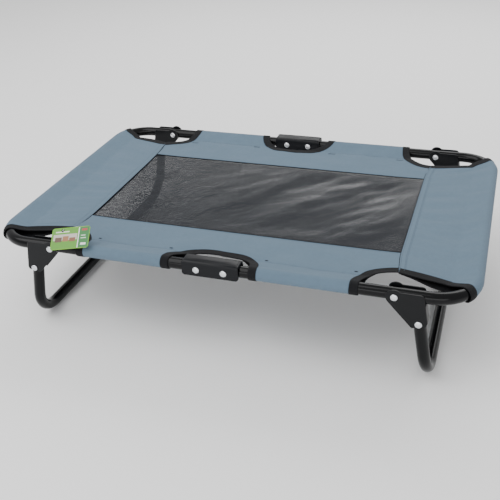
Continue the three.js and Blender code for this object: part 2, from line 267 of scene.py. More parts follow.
class Wiring:
    """Adds and links the nodes of one material or node group."""

    def __init__(self, tree: bpy.types.NodeTree) -> None:
        """Starts on a node tree.

        Args:
            tree: the tree to work in.
        """
        self.tree = tree

    def add(self, kind: str, sockets: Optional[dict] = None, **settings: Any) -> bpy.types.Node:
        """Adds a node.

        Args:
            kind: the node's type name without ShaderNode, or its full name.
            sockets: input values by name or number; a socket given here is linked.
            settings: the node's own properties.

        Returns:
            The new node.
        """
        full = kind if kind.startswith("Node") else f"ShaderNode{kind}"
        node = self.tree.nodes.new(full)
        for name, value in settings.items():
            setattr(node, name, value)
        for name, value in (sockets or {}).items():
            if isinstance(value, bpy.types.NodeSocket):
                self.tree.links.new(value, node.inputs[name])
            else:
                node.inputs[name].default_value = value
        return node

    def math(self, operation: str, *values: Value) -> bpy.types.NodeSocket:
        """Adds a Math node.

        Args:
            operation: the operation's name.
            values: numbers or sockets for its inputs.

        Returns:
            Its output socket.
        """
        node = self.add("Math", dict(enumerate(values)), operation=operation)
        return node.outputs[0]

    def mix(self, factor: Value, first: Value, second: Value, blend: str = "MIX") -> bpy.types.NodeSocket:
        """Adds a colour Mix node.

        Args:
            factor: number or socket.
            first: colour or socket.
            second: colour or socket.
            blend: the blend type.

        Returns:
            The mixed colour's socket.
        """
        node = self.add("Mix", {0: factor, 6: first, 7: second}, data_type="RGBA", blend_type=blend)
        return node.outputs[2]

    def ramp(self, value: bpy.types.NodeSocket, low: float, high: float,
             out_low: float = 0.0, out_high: float = 1.0) -> bpy.types.NodeSocket:
        """Maps a value from one range to another and clamps it.

        Args:
            value: the socket to map.
            low: start of the input range.
            high: end of the input range.
            out_low: start of the output range.
            out_high: end of the output range.

        Returns:
            The mapped value's socket.
        """
        node = self.add("MapRange", {0: value, 1: low, 2: high, 3: out_low, 4: out_high})
        return node.outputs[0]


def new_group(name: str, inputs: dict, outputs: dict) -> tuple:
    """Starts a shader node group.

    Args:
        name: the group's name.
        inputs: socket names with their defaults; a tuple makes a vector socket.
        outputs: socket names with their kinds.

    Returns:
        The group, its wiring, its input node and its output node.
    """
    tree = bpy.data.node_groups.new(name, "ShaderNodeTree")
    for label, default in inputs.items():
        kind = "NodeSocketVector" if isinstance(default, tuple) else "NodeSocketFloat"
        socket = tree.interface.new_socket(name=label, in_out="INPUT", socket_type=kind)
        socket.default_value = default
    for label, kind in outputs.items():
        tree.interface.new_socket(name=label, in_out="OUTPUT", socket_type=kind)
    wiring = Wiring(tree)
    return tree, wiring, wiring.add("NodeGroupInput"), wiring.add("NodeGroupOutput")


def weave_group() -> bpy.types.NodeTree:
    """A plain weave of warp and weft threads.

    Returns:
        The node group: Vector and Threads in, Height and Tone out.
    """
    tree, w, source, result = new_group(
        "plain_weave", {"Vector": (0.0, 0.0, 0.0), "Threads": 1000.0},
        {"Height": "NodeSocketFloat", "Tone": "NodeSocketFloat"})
    scaled = w.add("VectorMath", {0: source.outputs["Vector"], 3: source.outputs["Threads"]},
                   operation="SCALE")
    parts = w.add("SeparateXYZ", {0: scaled.outputs[0]})
    warp = w.math("ABSOLUTE", w.math("SINE", w.math("MULTIPLY", parts.outputs[0], math.pi)))
    weft = w.math("ABSOLUTE", w.math("SINE", w.math("MULTIPLY", parts.outputs[1], math.pi)))
    check = w.add("TexChecker", {"Vector": scaled.outputs[0], "Scale": 1.0})
    over = check.outputs["Fac"]
    under = w.math("SUBTRACT", 1.0, over)
    height = w.math("ADD", w.math("MULTIPLY", over, warp), w.math("MULTIPLY", under, weft))
    slub = w.add("TexNoise", {"Vector": scaled.outputs[0], "Scale": 0.11, "Detail": 3.0})
    tone = w.math("ADD", w.math("MULTIPLY", height, 0.35), w.math("MULTIPLY", slub.outputs[0], 0.65))
    tree.links.new(height, result.inputs["Height"])
    tree.links.new(tone, result.inputs["Tone"])
    return tree


def net_group() -> bpy.types.NodeTree:
    """An open knitted net with diamond holes.

    Returns:
        The node group: Vector, Pitch and Open in, Thread and Height out.
    """
    tree, w, source, result = new_group(
        "open_net", {"Vector": (0.0, 0.0, 0.0), "Pitch": 0.0025, "Open": 0.5},
        {"Thread": "NodeSocketFloat", "Height": "NodeSocketFloat"})
    parts = w.add("SeparateXYZ", {0: source.outputs["Vector"]})
    wobble = w.add("TexNoise", {"Vector": source.outputs["Vector"], "Scale": 90.0, "Detail": 1.0})
    shift = w.math("MULTIPLY", w.math("SUBTRACT", wobble.outputs[0], 0.5), 0.0022)
    along = w.math("ADD", parts.outputs[0], shift)
    across = w.math("MULTIPLY", parts.outputs[1], 1.35)
    turn = w.math("DIVIDE", math.pi, source.outputs["Pitch"])
    first = w.math("ABSOLUTE", w.math("SINE", w.math("MULTIPLY", w.math("ADD", along, across), turn)))
    second = w.math("ABSOLUTE", w.math("SINE", w.math("MULTIPLY", w.math("SUBTRACT", along, across), turn)))
    hollow = w.math("MULTIPLY", first, second)
    open_edge = w.math("ADD", source.outputs["Open"], 0.12)
    thread = w.add("MapRange", {0: hollow, 1: source.outputs["Open"], 2: open_edge, 3: 1.0, 4: 0.0})
    tree.links.new(thread.outputs[0], result.inputs["Thread"])
    tree.links.new(w.math("SUBTRACT", 1.0, hollow), result.inputs["Height"])
    return tree


def grain_group() -> bpy.types.NodeTree:
    """Fine and broad unevenness of coats and mouldings.

    Returns:
        The node group: Vector, Fine and Broad in, Fine and Broad values out.
    """
    tree, w, source, result = new_group(
        "surface_grain", {"Vector": (0.0, 0.0, 0.0), "Fine": 900.0, "Broad": 14.0},
        {"Fine": "NodeSocketFloat", "Broad": "NodeSocketFloat"})
    vector = source.outputs["Vector"]
    fine = w.add("TexNoise", {"Vector": vector, "Scale": source.outputs["Fine"], "Detail": 2.0})
    broad = w.add("TexNoise", {"Vector": vector, "Scale": source.outputs["Broad"], "Detail": 4.0})
    tree.links.new(fine.outputs[0], result.inputs["Fine"])
    tree.links.new(broad.outputs[0], result.inputs["Broad"])
    return tree


GROUPS: dict = {}


def group_node(w: Wiring, name: str, sockets: dict) -> bpy.types.Node:
    """Places a shared effect in a material.

    Args:
        w: the material's wiring.
        name: weave, net or grain.
        sockets: input values or sockets.

    Returns:
        The group's node.
    """
    makers = {"weave": weave_group, "net": net_group, "grain": grain_group}
    if name not in GROUPS:
        GROUPS[name] = makers[name]()
    node = w.add("Group", node_tree=GROUPS[name])
    for label, value in sockets.items():
        if isinstance(value, bpy.types.NodeSocket):
            w.tree.links.new(value, node.inputs[label])
        else:
            node.inputs[label].default_value = value
    return node


def new_material(name: str) -> tuple:
    """Starts a node material.

    Args:
        name: the material's name.

    Returns:
        The material, its wiring and its Principled BSDF.
    """
    material = bpy.data.materials.new(name)
    material.use_nodes = True
    wiring = Wiring(material.node_tree)
    return material, wiring, material.node_tree.nodes["Principled BSDF"]


def tinted(colour: Sequence[float], factor: float) -> tuple:
    """Scales a colour.

    Args:
        colour: red, green, blue.
        factor: the brightness factor.

    Returns:
        The colour with an alpha of one.
    """
    return tuple(min(1.0, c * factor) for c in colour) + (1.0,)


# ---------------------------------------------------------------------------------------------
# Finishes
# ---------------------------------------------------------------------------------------------


@dataclass(frozen=True)
class CoatFinish:
    """Powder coat or moulded plastic: a dark base with a fine grain."""

    name: str
    colour: tuple
    roughness: float
    grain_scale: float
    grain_depth: float
    specular: float = 0.5

    def material(self) -> bpy.types.Material:
        """Builds the material.

        Returns:
            The material.
        """
        material, w, shader = new_material(self.name)
        place = w.add("TexCoord").outputs["Object"]
        grain = group_node(w, "grain", {"Vector": place, "Fine": self.grain_scale, "Broad": 18.0})
        shade = w.mix(grain.outputs["Broad"], tinted(self.colour, 0.82), tinted(self.colour, 1.2))
        w.tree.links.new(shade, shader.inputs["Base Color"])
        rough = w.ramp(grain.outputs["Broad"], 0.3, 0.7, self.roughness * 0.85, self.roughness * 1.2)
        w.tree.links.new(rough, shader.inputs["Roughness"])
        bump = w.add("Bump", {"Height": grain.outputs["Fine"], "Strength": 0.35,
                              "Distance": self.grain_depth})
        w.tree.links.new(bump.outputs[0], shader.inputs["Normal"])
        shader.inputs["Specular IOR Level"].default_value = self.specular
        return material


@dataclass(frozen=True)
class ZincFinish:
    """Bright zinc plate with soft mottling."""

    colour: tuple = (0.74, 0.76, 0.79)

    def material(self) -> bpy.types.Material:
        """Builds the material.

        Returns:
            The material.
        """
        material, w, shader = new_material("bright_zinc")
        place = w.add("TexCoord").outputs["Object"]
        grain = group_node(w, "grain", {"Vector": place, "Fine": 1400.0, "Broad": 260.0})
        shade = w.mix(grain.outputs["Broad"], tinted(self.colour, 0.8), tinted(self.colour, 1.15))
        w.tree.links.new(shade, shader.inputs["Base Color"])
        w.tree.links.new(w.ramp(grain.outputs["Broad"], 0.3, 0.7, 0.2, 0.38), shader.inputs["Roughness"])
        bump = w.add("Bump", {"Height": grain.outputs["Broad"], "Strength": 0.3, "Distance": 0.0002})
        w.tree.links.new(bump.outputs[0], shader.inputs["Normal"])
        shader.inputs["Metallic"].default_value = 1.0
        return material


@dataclass(frozen=True)
class ClothFinish:
    """Woven cloth that follows the piece's own flat UV, in metres."""

    name: str
    colour: tuple
    threads: float
    roughness: float = 0.85
    sheen: float = 0.25
    contrast: float = 0.18
    depth: float = 0.00018

    def material(self) -> bpy.types.Material:
        """Builds the material.

        Returns:
            The material.
        """
        material, w, shader = new_material(self.name)
        flat = w.add("UVMap", uv_map=FLAT_UV).outputs[0]
        weave = group_node(w, "weave", {"Vector": flat, "Threads": self.threads})
        grain = group_node(w, "grain", {"Vector": flat, "Fine": 320.0, "Broad": 9.0})
        mottle = w.math("ADD", w.math("MULTIPLY", weave.outputs["Tone"], 0.6),
                        w.math("MULTIPLY", grain.outputs["Broad"], 0.4))
        shade = w.mix(mottle, tinted(self.colour, 1 - self.contrast), tinted(self.colour, 1 + self.contrast))
        w.tree.links.new(shade, shader.inputs["Base Color"])
        ripple = w.math("ADD", weave.outputs["Height"], w.math("MULTIPLY", grain.outputs["Fine"], 0.8))
        bump = w.add("Bump", {"Height": ripple, "Strength": 0.45, "Distance": self.depth})
        w.tree.links.new(bump.outputs[0], shader.inputs["Normal"])
        shader.inputs["Roughness"].default_value = self.roughness
        shader.inputs["Sheen Weight"].default_value = self.sheen
        shader.inputs["Sheen Roughness"].default_value = 0.5
        shader.inputs["Specular IOR Level"].default_value = 0.25
        return material


@dataclass(frozen=True)
class NetFinish:
    """Open knitted net; light passes through its holes."""

    colour: tuple = (0.0025, 0.004, 0.0075)
    pitch: float = 2.6 * MM
    openness: float = 0.57
    rib: float = 6.4 * MM

    def material(self) -> bpy.types.Material:
        """Builds the material.

        Returns:
            The material.
        """
        material, w, shader = new_material("open_mesh")
        flat = w.add("UVMap", uv_map=FLAT_UV).outputs[0]
        grain = group_node(w, "grain", {"Vector": flat, "Fine": 500.0, "Broad": 11.0})
        shade = w.mix(grain.outputs["Broad"], tinted(self.colour, 0.8), tinted(self.colour, 1.25))
        place = w.add("SeparateXYZ", {0: flat})
        slant = w.math("ADD", w.math("MULTIPLY", place.outputs[0], 0.8), place.outputs[1])
        wander = w.math("MULTIPLY", w.math("SUBTRACT", grain.outputs["Broad"], 0.5), 0.012)
        ribs = w.math("SINE", w.math("MULTIPLY", w.math("ADD", slant, wander), math.tau / self.rib))
        density = w.ramp(ribs, -1.0, 1.0, self.openness - 0.09, self.openness + 0.07)
        net = group_node(w, "net", {"Vector": flat, "Pitch": self.pitch, "Open": density})
        shade = w.mix(w.ramp(ribs, -1.0, 1.0, 0.0, 0.55), shade, tinted(self.colour, 2.6))
        w.tree.links.new(shade, shader.inputs["Base Color"])
        w.tree.links.new(net.outputs["Thread"], shader.inputs["Alpha"])
        bump = w.add("Bump", {"Height": net.outputs["Height"], "Strength": 0.5, "Distance": 0.0004})
        w.tree.links.new(bump.outputs[0], shader.inputs["Normal"])
        shader.inputs["Roughness"].default_value = 0.45
        shader.inputs["Specular IOR Level"].default_value = 0.16
        shader.inputs["Sheen Weight"].default_value = 0.02
        return material


@dataclass(frozen=True)
class Block:
    """A plain printed rectangle; its edges are shares of the card's width and height."""

    left: float
    right: float
    bottom: float
    top: float
    colour: tuple


CARD_PRINT = (
    Block(0.012, 0.988, 0.02, 0.98, (0.08, 0.3, 0.0)),
    Block(0.05, 0.68, 0.42, 0.7, (0.5, 0.46, 0.4)),
    Block(0.1, 0.28, 0.34, 0.56, (0.1, 0.045, 0.02)),
    Block(0.3, 0.46, 0.36, 0.6, (0.3, 0.13, 0.045)),
    Block(0.48, 0.64, 0.34, 0.52, (0.2, 0.07, 0.02)),
    Block(0.1, 0.46, 0.78, 0.84, (0.7, 0.75, 0.6)),
    Block(0.78, 0.94, 0.5, 0.56, (0.82, 0.88, 0.74)),
    Block(0.73, 0.985, 0.03, 0.97, (0.008, 0.17, 0.02)),
    Block(0.79, 0.93, 0.8, 0.9, (0.4, 0.02, 0.03)),
    Block(0.79, 0.93, 0.14, 0.24, (0.8, 0.85, 0.8)),
    Block(0.78, 0.9, 0.56, 0.6, (0.6, 0.75, 0.6)),
    Block(0.78, 0.92, 0.44, 0.48, (0.6, 0.75, 0.6)),
    Block(0.705, 0.73, 0.03, 0.97, (0.8, 0.8, 0.8)),
)


@dataclass(frozen=True)
class CardFinish:
    """Printed card: a bright border, a green field with plain blocks, and a darker strip at the right."""

    width: float
    height: float
    border_green: tuple = (0.16, 0.42, 0.0)

    def inside(self, w: Wiring, place: bpy.types.Node, block: Block) -> bpy.types.NodeSocket:
        """Masks a block of the card.

        Args:
            w: the material's wiring.
            place: the node that splits the card's flat coordinates.
            block: the block.

        Returns:
            A mask that is one inside the block.
        """
        x, y = place.outputs[0], place.outputs[1]
        mask_x = w.math("MULTIPLY", w.math("GREATER_THAN", x, block.left * self.width),
                        w.math("LESS_THAN", x, block.right * self.width))
        mask_y = w.math("MULTIPLY", w.math("GREATER_THAN", y, block.bottom * self.height),
                        w.math("LESS_THAN", y, block.top * self.height))
        return w.math("MULTIPLY", mask_x, mask_y)

    def material(self) -> bpy.types.Material:
        """Builds the material.

        Returns:
            The material.
        """
        material, w, shader = new_material("printed_card")
        flat = w.add("UVMap", uv_map=FLAT_UV).outputs[0]
        place = w.add("SeparateXYZ", {0: flat})
        grain = group_node(w, "grain", {"Vector": flat, "Fine": 1500.0, "Broad": 40.0})
        colour = tinted(self.border_green, 1.0)
        for block in CARD_PRINT:
            colour = w.mix(self.inside(w, place, block), colour, tinted(block.colour, 1.0))
        worn = w.mix(grain.outputs["Broad"], (0.9, 0.9, 0.9, 1.0), (1.0, 1.0, 1.0, 1.0))
        w.tree.links.new(w.mix(1.0, colour, worn, "MULTIPLY"), shader.inputs["Base Color"])
        bump = w.add("Bump", {"Height": grain.outputs["Fine"], "Strength": 0.2, "Distance": 0.0001})
        w.tree.links.new(bump.outputs[0], shader.inputs["Normal"])
        shader.inputs["Roughness"].default_value = 0.38
        return material


@dataclass
class Finishes:
    """All the bed's materials, built once."""

    tube: bpy.types.Material = field(default_factory=lambda: CoatFinish(
        "gloss_black_coat", (0.002, 0.0022, 0.0027), 0.18, 700.0, 0.00004, specular=0.2).material())
    bracket: bpy.types.Material = field(default_factory=lambda: CoatFinish(
        "satin_black_coat", (0.0045, 0.005, 0.006), 0.36, 1500.0, 0.0001, specular=0.2).material())
    grip: bpy.types.Material = field(default_factory=lambda: CoatFinish(
        "moulded_black_plastic", (0.0038, 0.0044, 0.006), 0.33, 1100.0, 0.00012, specular=0.2).material())
    zinc: bpy.types.Material = field(default_factory=lambda: ZincFinish().material())
    panel: bpy.types.Material = field(default_factory=lambda: ClothFinish(
        "blue_grey_cloth", (0.101, 0.153, 0.206), 1100.0, sheen=0.06).material())
    # Painted shade: the sleeves' underside layers are the blue cloth, coloured near black for the shadow
    # inside the sleeve mouths.
    lining: bpy.types.Material = field(default_factory=lambda: ClothFinish(
        "dark_lining", (0.004, 0.0045, 0.006), 1300.0, contrast=0.3, sheen=0.02).material())
    tape: bpy.types.Material = field(default_factory=lambda: ClothFinish(
        "binding_tape", (0.003, 0.0033, 0.0045), 1500.0, contrast=0.4, sheen=0.02, depth=0.00022).material())
    thread: bpy.types.Material = field(default_factory=lambda: CoatFinish(
        "sewing_thread", (0.07, 0.1, 0.13), 0.7, 3000.0, 0.0001, specular=0.2).material())
    dark_thread: bpy.types.Material = field(default_factory=lambda: CoatFinish(
        "dark_thread", (0.012, 0.014, 0.018), 0.7, 3000.0, 0.0001, specular=0.2).material())
    net: bpy.types.Material = field(default_factory=lambda: NetFinish().material())
    nylon: bpy.types.Material = field(default_factory=lambda: CoatFinish(
        "white_nylon", (0.75, 0.76, 0.78), 0.35, 900.0, 0.00005).material())


# ---------------------------------------------------------------------------------------------
# Metal and plastic
# ---------------------------------------------------------------------------------------------


class TubeRun:
    """Extrudes a round tube through straights and bends."""

    def __init__(self, radius: float, start: Vector, heading: Vector, sides: int = 28) -> None:
        """Starts with the tube's first ring.

        Args:
            radius: the tube's outer radius.
            start: the centre of its first end.
            heading: the direction in which it sets out.
            sides: the number of sides of the ring.
        """
        self.bm = bmesh.new()
        turn = heading.to_track_quat("Z", "Y").to_matrix().to_4x4()
        place = Matrix.Translation(start) @ turn
        bmesh.ops.create_circle(self.bm, cap_ends=False, segments=sides, radius=radius, matrix=place)
        self.ring = list(self.bm.verts) + list(self.bm.edges)
        self.centre = start.copy()
        self.heading = heading.normalized()

    def straight(self, length: float, steps: int = 1) -> "TubeRun":
        """Goes straight on.

        Args:
            length: the straight's length.
            steps: the number of pieces it is made in.

        Returns:
            The run itself.
        """
        for _ in range(steps):
            edges = [e for e in self.ring if isinstance(e, bmesh.types.BMEdge)]
            made = bmesh.ops.extrude_edge_only(self.bm, edges=edges)["geom"]
            verts = [v for v in made if isinstance(v, bmesh.types.BMVert)]
            bmesh.ops.translate(self.bm, vec=self.heading * length / steps, verts=verts)
            self.ring = verts + [e for e in made if isinstance(e, bmesh.types.BMEdge)
                                 and all(v in verts for v in e.verts)]
        self.centre += self.heading * length
        return self

    def bend(self, radius: float, angle: float, axis: Vector, steps: int = 14) -> "TubeRun":
        """Bends the tube.

        Args:
            radius: the bend's radius to the tube's centre.
            angle: the bend's angle in radians.
            axis: the axis of the turn; the heading turns anticlockwise about it.
            steps: the number of pieces it is made in.

        Returns:
            The run itself.
        """
        middle = self.centre + axis.cross(self.heading) * radius
        made = bmesh.ops.spin(self.bm, geom=self.ring, cent=middle, axis=axis, dvec=(0, 0, 0),
                              angle=angle, steps=steps, use_merge=False, use_duplicate=False)
        self.ring = list(made["geom_last"])
        turn = Matrix.Rotation(angle, 3, axis)
        self.centre = middle + turn @ (self.centre - middle)
        self.heading = turn @ self.heading
        return self

    def finished(self, name: str, material: bpy.types.Material, wall: float) -> bpy.types.Object:
        """Ends the run.

        Args:
            name: the piece's name.
            material: its material.
            wall: the tube's wall.

        Returns:
            The tube's object.
        """
        bmesh.ops.recalc_face_normals(self.bm, faces=self.bm.faces)
        piece = object_from(self.bm, name, material, smooth=60)
        add_thickness(piece, wall, -1.0)
        return piece


@dataclass
class FrameRail:
    """One half of the tube frame: a U of two long rails and an end rail."""

    side: Side
    wall: float = 1.2 * MM

    def build(self, finishes: Finishes) -> None:
        """Builds the tube.

        Args:
            finishes: the bed's materials.
        """
        node = f"frame_tube_{self.side.word}"
        low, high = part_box(node)
        start_x = low[0] if self.side is Side.RIGHT else high[0]
        start = Vector((start_x, -BED.rail_y, BED.z))
        heading = Vector((self.side.value, 0.0, 0.0))
        axis = Vector((0.0, 0.0, self.side.value))
        side_run = BED.end_x - BED.corner_r - abs(start_x)
        end_run = 2 * (BED.rail_y - BED.corner_r)
        run = TubeRun(BED.tube_r, start, heading).straight(side_run, 6)
        run.bend(BED.corner_r, math.pi / 2, axis).straight(end_run, 6)
        run.bend(BED.corner_r, math.pi / 2, axis).straight(side_run, 6)
        tube = run.finished(f"rail_{self.side.word}", finishes.tube, self.wall)
        settle(tube, f"frame_{self.side.word}", Slot.TUBE, [node])


@dataclass
class LegHoop:
    """One leg: a leaning U of tube that stands on its bottom run."""

    side: Side
    wall: float = 1.2 * MM
    bend_r: float = 52 * MM

    def build(self, finishes: Finishes) -> None:
        """Builds the tube.

        Args:
            finishes: the bed's materials.
        """
        node = f"leg_hoop_{self.side.word}"
        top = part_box(node)[1][2]
        sign = self.side.value
        drop = Vector((sign * math.sin(BED.lean), 0.0, -math.cos(BED.lean)))
        top_z = top - BED.tube_r * math.sin(BED.lean)
        height = (top_z - BED.foot.z) / math.cos(BED.lean)
        start = Vector((sign * BED.foot.x, -BED.rail_y, BED.foot.z)) - drop * height
        axis = drop.cross(Vector((0.0, 1.0, 0.0)))
        run = TubeRun(BED.tube_r, start, drop).straight(height - self.bend_r, 3)
        run.bend(self.bend_r, math.pi / 2, axis).straight(2 * (BED.rail_y - self.bend_r), 6)
        run.bend(self.bend_r, math.pi / 2, axis).straight(height - self.bend_r, 3)
        hoop = run.finished(f"leg_tube_{self.side.word}", finishes.tube, self.wall)
        settle(hoop, f"leg_{self.side.word}", Slot.TUBE, [node])


def merged_copy(node: str) -> bmesh.types.BMesh:
    """Copies a CAD node's mesh and merges its loose triangles into flat faces.

    Args:
        node: the CAD node.

    Returns:
        The copy, in the node's place.
    """
    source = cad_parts[node]
    bm = bmesh.new()
    bm.from_mesh(source.data)
    bmesh.ops.transform(bm, matrix=source.matrix_world, verts=bm.verts)
    bmesh.ops.remove_doubles(bm, verts=bm.verts, dist=MERGE_GAP)
    bmesh.ops.dissolve_limit(bm, angle_limit=FLAT_ANGLE, verts=bm.verts, edges=bm.edges)
    return bm


def crown_edges(bm: bmesh.types.BMesh) -> list:
    """Finds a hand grip's long top edges, along the rail.

    Args:
        bm: the grip's mesh work.

    Returns:
        The edges between its top and its outer sides.
    """
    fold, shortest, lowest = math.radians(50), 1 * MM, BED.z + 12 * MM
    return [e for e in bm.edges if e.calc_face_angle(0.0) > fold
            and all(f.normal.z > 0.5 or abs(f.normal.y) > 0.9 for f in e.link_faces)
            and min(v.co.z for v in e.verts) > lowest and e.calc_length() > shortest
            and max(abs(f.normal.x) for f in e.link_faces) < 0.6]


def copy_of(node: str, name: str, material: bpy.types.Material, width: float,
            segments: int = 3, crown: float = 0.0) -> bpy.types.Object:
    """Makes a softened copy of a hard CAD node.

    Args:
        node: the CAD node.
        name: the piece's name.
        material: its material.
        width: the rounding of its edges.
        segments: the segments of that rounding.
        crown: the larger rounding of its long top edges, if any.

    Returns:
        The new object at the origin.
    """
    bm = merged_copy(node)
    if crown > 0:
        bmesh.ops.bevel(bm, geom=crown_edges(bm), offset=crown, offset_type="OFFSET", segments=5,
                        profile=0.5, affect="EDGES", material=-1, clamp_overlap=True)
    piece = object_from(bm, name, material, smooth=38)
    add_bevel(piece, width, segments)
    return piece


@dataclass
class Rivet:
    """A through rivet with a low dome at each end, lying along y."""

    node: str
    body: str
    head_h: float = 2.3 * MM
    shank_r: float = 2.9 * MM
    head_fit: float = 0.985
    dome: float = 0.8
    steps: int = 8
    sides: int = 28

    def build(self, finishes: Finishes) -> None:
        """Builds the rivet by turning its outline.

        Args:
            finishes: the bed's materials.
        """
        low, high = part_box(self.node)
        centre = Vector([(a + b) / 2 for a, b in zip(low, high)])
        half = (high[1] - low[1]) / 2
        head_r = (high[2] - low[2]) / 2 * self.head_fit
        outline = []
        for k in range(self.steps + 1):
            angle = math.pi / 2 * k / self.steps
            fall = self.head_h * (1 - math.cos(angle)) * self.dome
            outline.append((head_r * math.sin(angle), half - fall))
        outline.append((head_r, half - self.head_h))
        outline.append((self.shank_r, half - self.head_h))
        outline += [(r, -y) for r, y in reversed(outline)]
        bm = bmesh.new()
        first = bmesh.ops.create_vert(bm, co=centre + Vector((outline[0][0], outline[0][1], 0.0)))["vert"][0]
        line = [first]
        for r, y in outline[1:]:
            made = bmesh.ops.extrude_vert_indiv(bm, verts=[line[-1]])["verts"][0]
            made.co = centre + Vector((r, y, 0.0))
            line.append(made)
        bmesh.ops.spin(bm, geom=list(bm.verts) + list(bm.edges), cent=centre, axis=(0, 1, 0),
                       dvec=(0, 0, 0), angle=math.tau, steps=self.sides, use_merge=True,
                       use_duplicate=False)
        bmesh.ops.remove_doubles(bm, verts=bm.verts, dist=0.000004)
        bmesh.ops.recalc_face_normals(bm, faces=bm.faces)
        name = self.node.replace("pivot", "pivot_rivet").replace("leg_rivet", "leg_fixing_rivet")
        settle(object_from(bm, name, finishes.zinc, smooth=50), self.body, Slot.ZINC, [self.node])


@dataclass
class Hardware:
    """The grips, brackets and rivets."""

    grip_rounding: float = 1.3 * MM
    grip_crown: float = 5.5 * MM
    bracket_rounding: float = 0.6 * MM

    def build(self, finishes: Finishes) -> None:
        """Builds every hard fitting.

        Args:
            finishes: the bed's materials.
        """
        for row in Row:
            grip = copy_of(f"grip_{row.word}", f"hand_grip_{row.word}", finishes.grip, self.grip_rounding,
                           crown=self.grip_crown)
            settle(grip, "grips", Slot.GRIP, [f"grip_{row.word}"])
            for side in Side:
                place = f"{row.word}_{side.word}"
                bracket = copy_of(f"bracket_{place}", f"leg_bracket_{place}", finishes.bracket,
                                  self.bracket_rounding, 2)
                settle(bracket, f"leg_{side.word}", Slot.BRACKET, [f"bracket_{place}"])
                Rivet(f"grip_pivot_{place}", "grips").build(finishes)
                Rivet(f"leg_pivot_{place}", f"leg_{side.word}").build(finishes)
                Rivet(f"leg_rivet_{place}", f"leg_{side.word}").build(finishes)


# ---------------------------------------------------------------------------------------------
# Cloth
# ---------------------------------------------------------------------------------------------

Place = Callable[[float, float], Vector]


def ripple(x: float, y: float, scale: float, seed: float = 0.0) -> float:
    """Soft smooth unevenness.

    Args:
        x: first coordinate.
        y: second coordinate.
        scale: the waves' length.
        seed: picks another pattern.

    Returns:
        A value of about -1 to 1.
    """
    return noise.noise(Vector((x / scale + seed, y / scale - seed, seed * 0.37)))


def smooth(value: float, low: float, high: float) -> float:
    """Rises softly from 0 to 1.

    Args:
        value: where to look.
        low: where the rise starts.
        high: where it ends.

    Returns:
        The height of the rise.
    """
    t = min(1.0, max(0.0, (value - low) / (high - low)))
    return t * t * (3 - 2 * t)


@dataclass(frozen=True)
class Tunnel:
    """The cross-section of a sewn sleeve round a rail, measured from the rail's centre."""

    radius: float = 11.0 * MM
    reach: float = 35.0 * MM
    layer: float = 0.45 * MM
    easing: float = 3.0 * MM

    @property
    def arc(self) -> float:
        """Length of cloth that lies on the rail, from the outermost line to where it leaves."""
        return self.radius * (math.pi - math.acos(self.radius / self.reach))

    @property
    def stitch(self) -> float:
        """Length of cloth from the outermost line to the stitch line."""
        return self.arc + math.sqrt(self.reach ** 2 - self.radius ** 2)

    def sharp(self, s: float) -> tuple:
        """Gives the section before its creases are eased.

        Args:
            s: length of cloth from the outermost line; positive over the top.

        Returns:
            The distance outwards and the height.
        """
        a, side = abs(s), math.copysign(1.0, s)
        if a <= self.arc:
            return self.radius * math.cos(a / self.radius), side * self.radius * math.sin(a / self.radius)
        leave = self.arc / self.radius
        out, up = self.radius * math.cos(leave), self.radius * math.sin(leave)
        t = min(1.0, (a - self.arc) / (self.stitch - self.arc))
        out, up = out + (-self.reach - out) * t, up * (1 - t) + self.layer * t
        return out - max(0.0, a - self.stitch), side * up

    def at(self, s: float) -> tuple:
        """Gives the section with soft creases.

        Args:
            s: length of cloth from the outermost line; positive over the top.

        Returns:
            The distance outwards and the height.
        """
        if abs(s) < self.arc - self.easing:
            return self.sharp(s)
        near = [self.sharp(s + self.easing * k) for k in (-1, -0.5, 0, 0.5, 1)]
        return sum(p[0] for p in near) / 5, sum(p[1] for p in near) / 5


TUNNEL = Tunnel()
SIDE_DEPTH = TUNNEL.stitch + BED.rail_y - TUNNEL.reach - BED.window_y
SIDE_TURN = -16 * MM
SEAM_FLARE = 5 * MM


def seam_at(y: float) -> float:
    """Gives the place of the seam between the side and end panels; it runs out towards the corners.

    Args:
        y: place across the bed.

    Returns:
        The seam's distance from the bed's middle.
    """
    return BED.seam_x + SEAM_FLARE * smooth(abs(y), BED.window_y, BED.window_y + 70 * MM)


@dataclass(frozen=True)
class Cutout:
    """A rounded opening in the folded cloth, in flat cloth coordinates from the fold line."""

    centre: float
    half: float
    deep: float
    power: float = 2.4

    def width_at(self, s: float) -> float:
        """Gives the opening's half width.

        Args:
            s: distance from the fold line.

        Returns:
            The half width there, or zero past the opening.
        """
        t = abs(s) / self.deep
        return self.half * (1 - t ** self.power) ** (1 / self.power) if t < 1 else 0.0

    def angle_at(self, x: float) -> float:
        """Gives the edge angle at a place along the rail, on the side towards the bed's middle.

        Args:
            x: distance from the bed's middle.

        Returns:
            The angle that edge() takes.
        """
        share = max(-1.0, min(0.0, (x - self.centre) / self.half))
        return math.atan2((1 - abs(share) ** self.power) ** (1 / self.power), share)

    def edge(self, angle: float) -> tuple:
        """Gives a point of the opening's edge and the direction into the cloth.

        Args:
            angle: 0 on the side towards the bed's end, pi/2 at the deepest point.

        Returns:
            x, s, and the unit direction as two numbers.
        """
        c, n = math.cos(angle), math.sin(angle)
        reach = (abs(c) ** self.power + abs(n) ** self.power) ** (-1 / self.power)
        x, s = reach * c * self.half, reach * n * self.deep
        gx = math.copysign(abs(x / self.half) ** (self.power - 1), x) / self.half
        gs = math.copysign(abs(s / self.deep) ** (self.power - 1), s) / self.deep
        size = math.hypot(gx, gs)
        return self.centre + x, s, gx / size, gs / size


